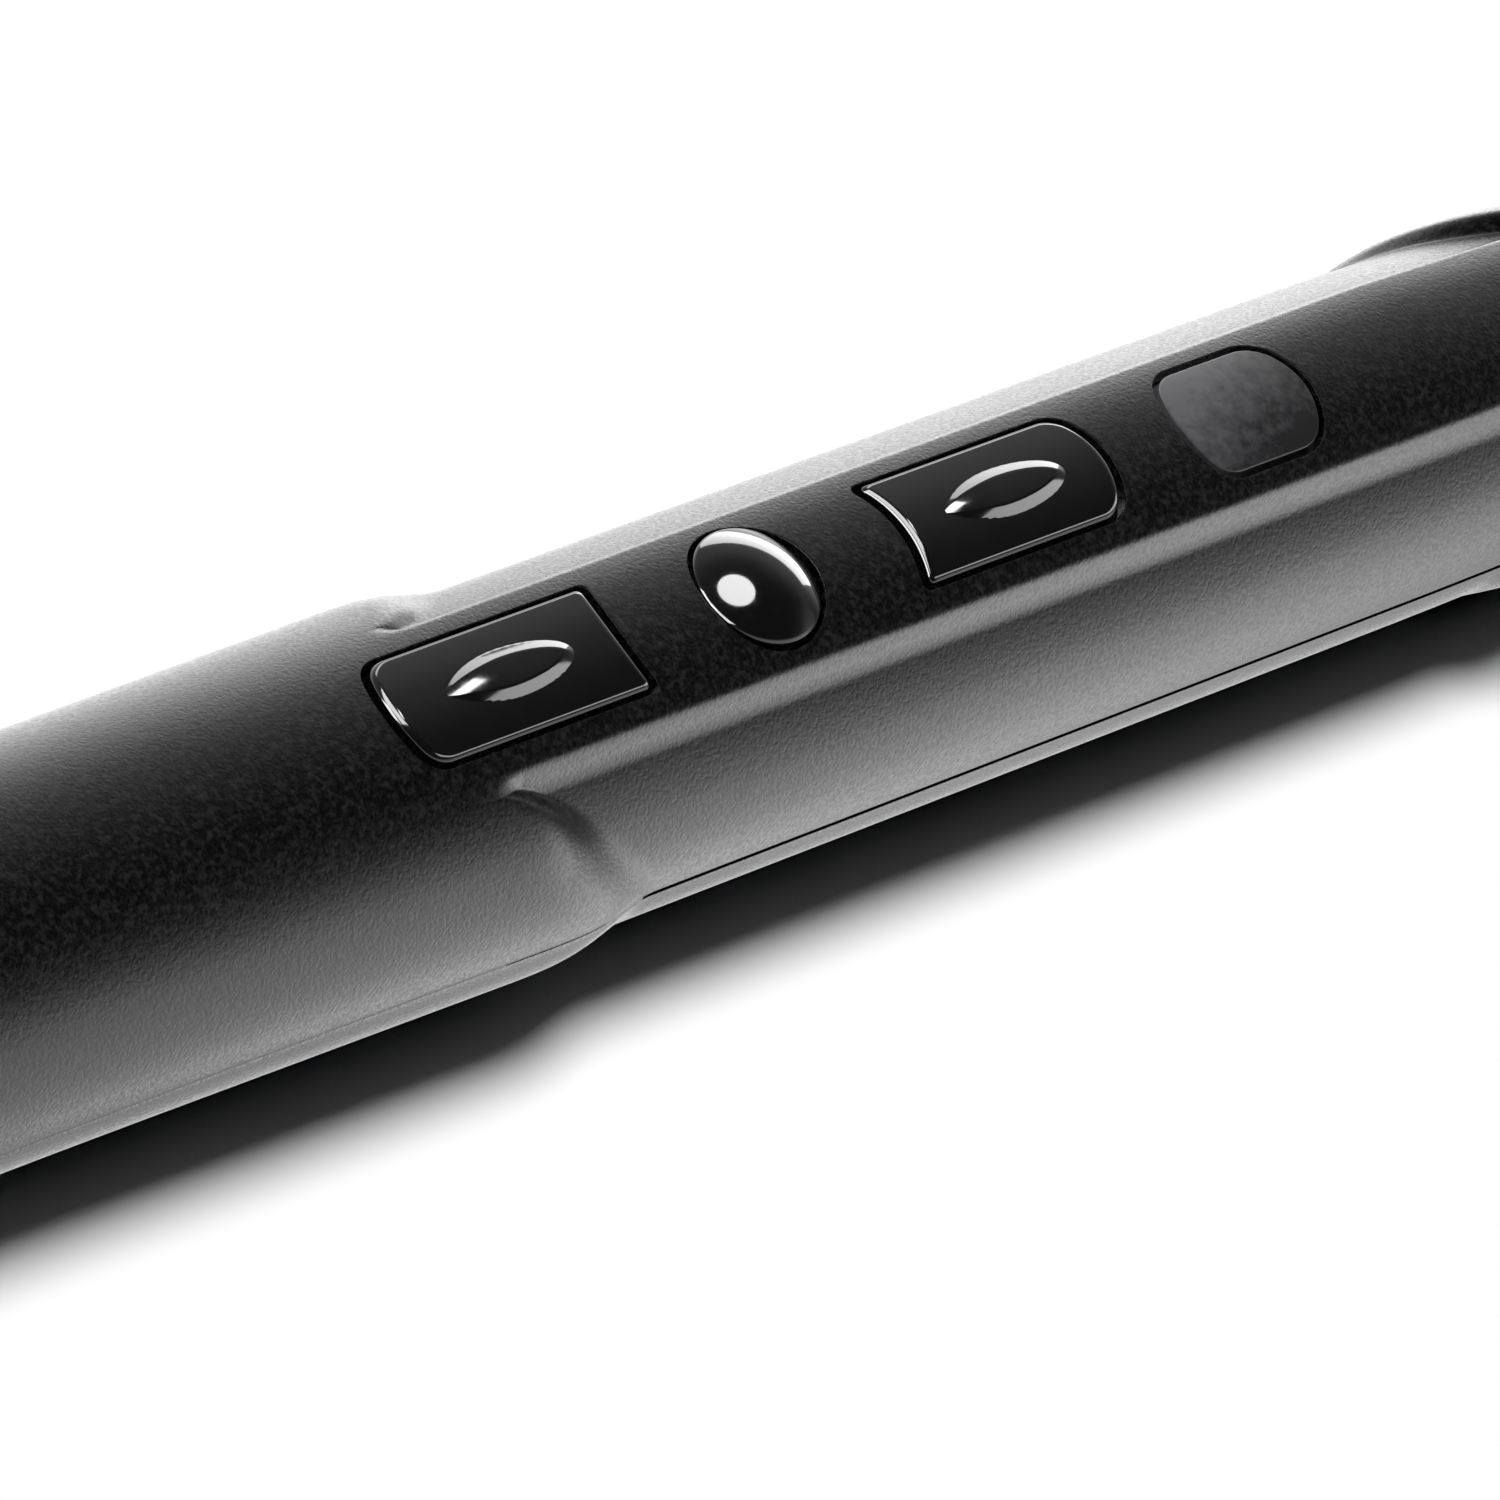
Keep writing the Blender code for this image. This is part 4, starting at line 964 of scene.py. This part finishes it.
glintCards = {
    "overheadCard": {"elevation": 76.0, "azimuth": 81.0, "size": (0.88, 0.88), "spin": 45.0, "power": 38.0,
                     "lights": "dome", "shape": "ELLIPSE"},
    "rimCard": {"elevation": 42.0, "azimuth": 185.0, "size": (0.95, 1.00), "power": 56.0,
                "lights": "dome"},
    "endCard": {"elevation": 66.0, "azimuth": 95.0, "size": (1.10, 0.95), "power": 52.0, "lights": "keys"},
    "noseCard": {"elevation": 30.0, "azimuth": 152.0, "size": (0.80, 1.20), "power": 70.0,
                 "lights": "polished"},
    "farCard": {"elevation": 8.5, "azimuth": 39.0, "size": (1.85, 0.58), "spin": 3.0, "power": 24.0,
                "lights": "dome"},
    "leafCard": {"elevation": 15.0, "azimuth": 45.5, "size": (1.260, 0.252), "spin": 42.0, "power": 6.0,
                 "lights": "keys"},
    "tipCard": {"elevation": 54.5, "azimuth": 30.0, "size": (0.085, 0.28), "power": 1.9, "lights": "keys"},
    "nearCard": {"elevation": 38.5, "azimuth": -27.0, "size": (1.64, 0.36), "spin": -47.0, "power": 11.0,
                 "lights": "keys"},
    "nearFill": {"elevation": -20.0, "azimuth": -48.5, "distance": 0.33, "size": (0.140, 0.40),
                 "power": 0.36, "station": 0.067, "lights": "shells"},
    "earCard": {"elevation": 20.0, "azimuth": 88.0, "size": (0.60, 0.50), "power": 2.2, "station": 0.074,
                "lights": "shells"},
    "farFill": {"elevation": -4.0, "azimuth": 47.4, "distance": 0.31, "size": (0.150, 0.21), "power": 0.15,
                "station": 0.074, "lights": "shells"},
}


def makeFloor():
    bm = bmesh.new()
    bmesh.ops.create_grid(bm, x_segments=2, y_segments=2, size=stage["floorSize"] / 2.0)
    floor = addPiece("floor", bm, Vector((0.0, 0.0, stage["floorHeight"])))
    pale = stage["floorColour"]
    finish, shader = newFinish("pale_floor", pale, stage["floorRough"], specular=0.0)
    mottle = addNoise(finish, stage["mottleScale"])
    tint = addTint(finish, mottle.outputs["Fac"], tuple(c * stage["mottleShare"] for c in pale), pale)
    finish.node_tree.links.new(tint, shader.inputs["Base Color"])
    wear(floor, finish)
    floor.visible_glossy = False  # gloss shows the studio round the wand, not the wand's own shadow
    floor.visible_shadow = False


def addGlow(world, height, levels):  # brightness of the studio by elevation, on one side of the wand
    ramp = world.node_tree.nodes.new("ShaderNodeValToRGB")
    points = ramp.color_ramp.elements
    while len(points) < len(levels):
        points.new(0.5)
    for point, (elevation, bright) in zip(points, levels):
        point.position = 0.5 + 0.5 * math.sin(math.radians(elevation))
        level = bright / stage["glow"]
        point.color = (level, level, level, 1.0)
    world.node_tree.links.new(height, ramp.inputs["Fac"])
    return ramp.outputs["Color"]


def makeWorld():
    world = bpy.data.worlds.new("studio")
    bpy.context.scene.world = world
    world.use_nodes = True
    nodes = world.node_tree.nodes
    links = world.node_tree.links
    background = nodes["Background"]
    background.inputs["Strength"].default_value = stage["glow"]
    place = nodes.new("ShaderNodeTexCoord")
    split = nodes.new("ShaderNodeSeparateXYZ")
    links.new(place.outputs["Generated"], split.inputs["Vector"])
    height = addRange(world, split.outputs["Z"], 0.0, 1.0, -1.0, 1.0)
    side = addRange(world, split.outputs["Y"], 0.0, 1.0, stage["sideFrom"], stage["sideTo"])
    side.node.interpolation_type = "SMOOTHSTEP"
    dim = nodes.new("ShaderNodeVectorMath")  # the near side is dark beyond the wand's tail end
    dim.operation = "SCALE"
    dark = addRange(world, split.outputs["X"], 1.0, stage["darkLevel"], stage["darkFrom"], stage["darkTo"])
    links.new(dark, dim.inputs["Scale"])
    links.new(addGlow(world, height, stage["nearGlow"]), dim.inputs[0])
    blend = nodes.new("ShaderNodeMix")
    blend.data_type = "RGBA"
    links.new(side, blend.inputs["Factor"])
    links.new(dim.outputs[0], blend.inputs[6])
    links.new(addGlow(world, height, stage["farGlow"]), blend.inputs[7])
    links.new(blend.outputs[2], background.inputs["Color"])
    world.cycles_visibility.diffuse = False  # the studio shows in gloss only, so the shadow stays deep


def addLamp(name, shape, size, power, toward, distance, spin=0.0, station=0.0):
    light = bpy.data.lights.new(name, "AREA")
    light.shape = shape
    light.size, light.size_y = size
    light.energy = power
    holder = bpy.data.objects.new(name, light)
    toward = Vector(toward).normalized()
    holder.location = home + Vector((station, 0.0, 0.0)) + toward * distance
    aim = toward.to_track_quat("Z", "Y").to_matrix()
    holder.rotation_euler = (aim @ Matrix.Rotation(spin, 3, "Z")).to_euler()
    holder.visible_camera = False
    bpy.context.scene.collection.objects.link(holder)
    return holder


def litPieces(name, pieces):
    group = bpy.data.collections.new(name)
    for piece in pieces:
        group.objects.link(bpy.data.objects[piece])
    return group


def makeLights():
    for name, kind in (("softLamp", "lamp"), ("wideLamp", "sky")):
        size, power = stage[kind + "Size"], stage[kind + "Power"]
        holder = addLamp(name, "ELLIPSE", (size, size), power, stage["lampToward"], stage["lampDistance"])
        holder.visible_glossy = False
        holder.data.cycles.use_multiple_importance_sampling = False
    groups = {"polished": litPieces("polishedPieces", ("tailKeyCap", "noseKeyCap", "domeKeyCap")),
              "dome": litPieces("roundKey", ("domeKeyCap",)),
              "keys": litPieces("thumbKeys", ("tailKeyCap", "noseKeyCap")),
              "shells": litPieces("satinPieces", ("upperHousing", "lowerHousing", "buttCap",
                                                  "windowPane"))}
    for name, given in glintCards.items():
        card = {**cardBase, **given}
        up, turn = math.radians(card["elevation"]), math.radians(card["azimuth"])
        toward = (math.cos(up) * math.cos(turn), math.cos(up) * math.sin(turn), math.sin(up))
        holder = addLamp(name, card["shape"], card["size"], card["power"], toward, card["distance"],
                         math.radians(card["spin"]), card["station"])
        holder.visible_diffuse = False
        holder.light_linking.receiver_collection = groups[card["lights"]]


view = {"sensor": 36.0, "lens": 322.27, "clip": (0.05, 40.0), "place": (-0.596428, -0.309599, 0.710159),
        "right": (0.70025, -0.57196, 0.42721), "down": (-0.26464, -0.76376, -0.58876),
        "forward": (0.66303, 0.29922, -0.68619)}


def makeCamera():
    data = bpy.data.cameras.new("camera")
    data.sensor_width = view["sensor"]
    data.lens = view["lens"]
    data.clip_start, data.clip_end = view["clip"]
    camera = bpy.data.objects.new("camera", data)
    spin = Matrix((Vector(view["right"]), -Vector(view["down"]), -Vector(view["forward"]))).transposed()
    camera.matrix_world = Matrix.Translation(view["place"]) @ spin.to_4x4()
    bpy.context.scene.collection.objects.link(camera)
    bpy.context.scene.camera = camera


for piece in list(bpy.context.scene.objects):
    piece.visible_diffuse = False  # gloss of the wand's own pieces doesn't lighten the shadow under it
makeFloor()
makeWorld()
makeLights()
makeCamera()
bpy.context.scene.view_settings.view_transform = "Standard"
print("stage set")
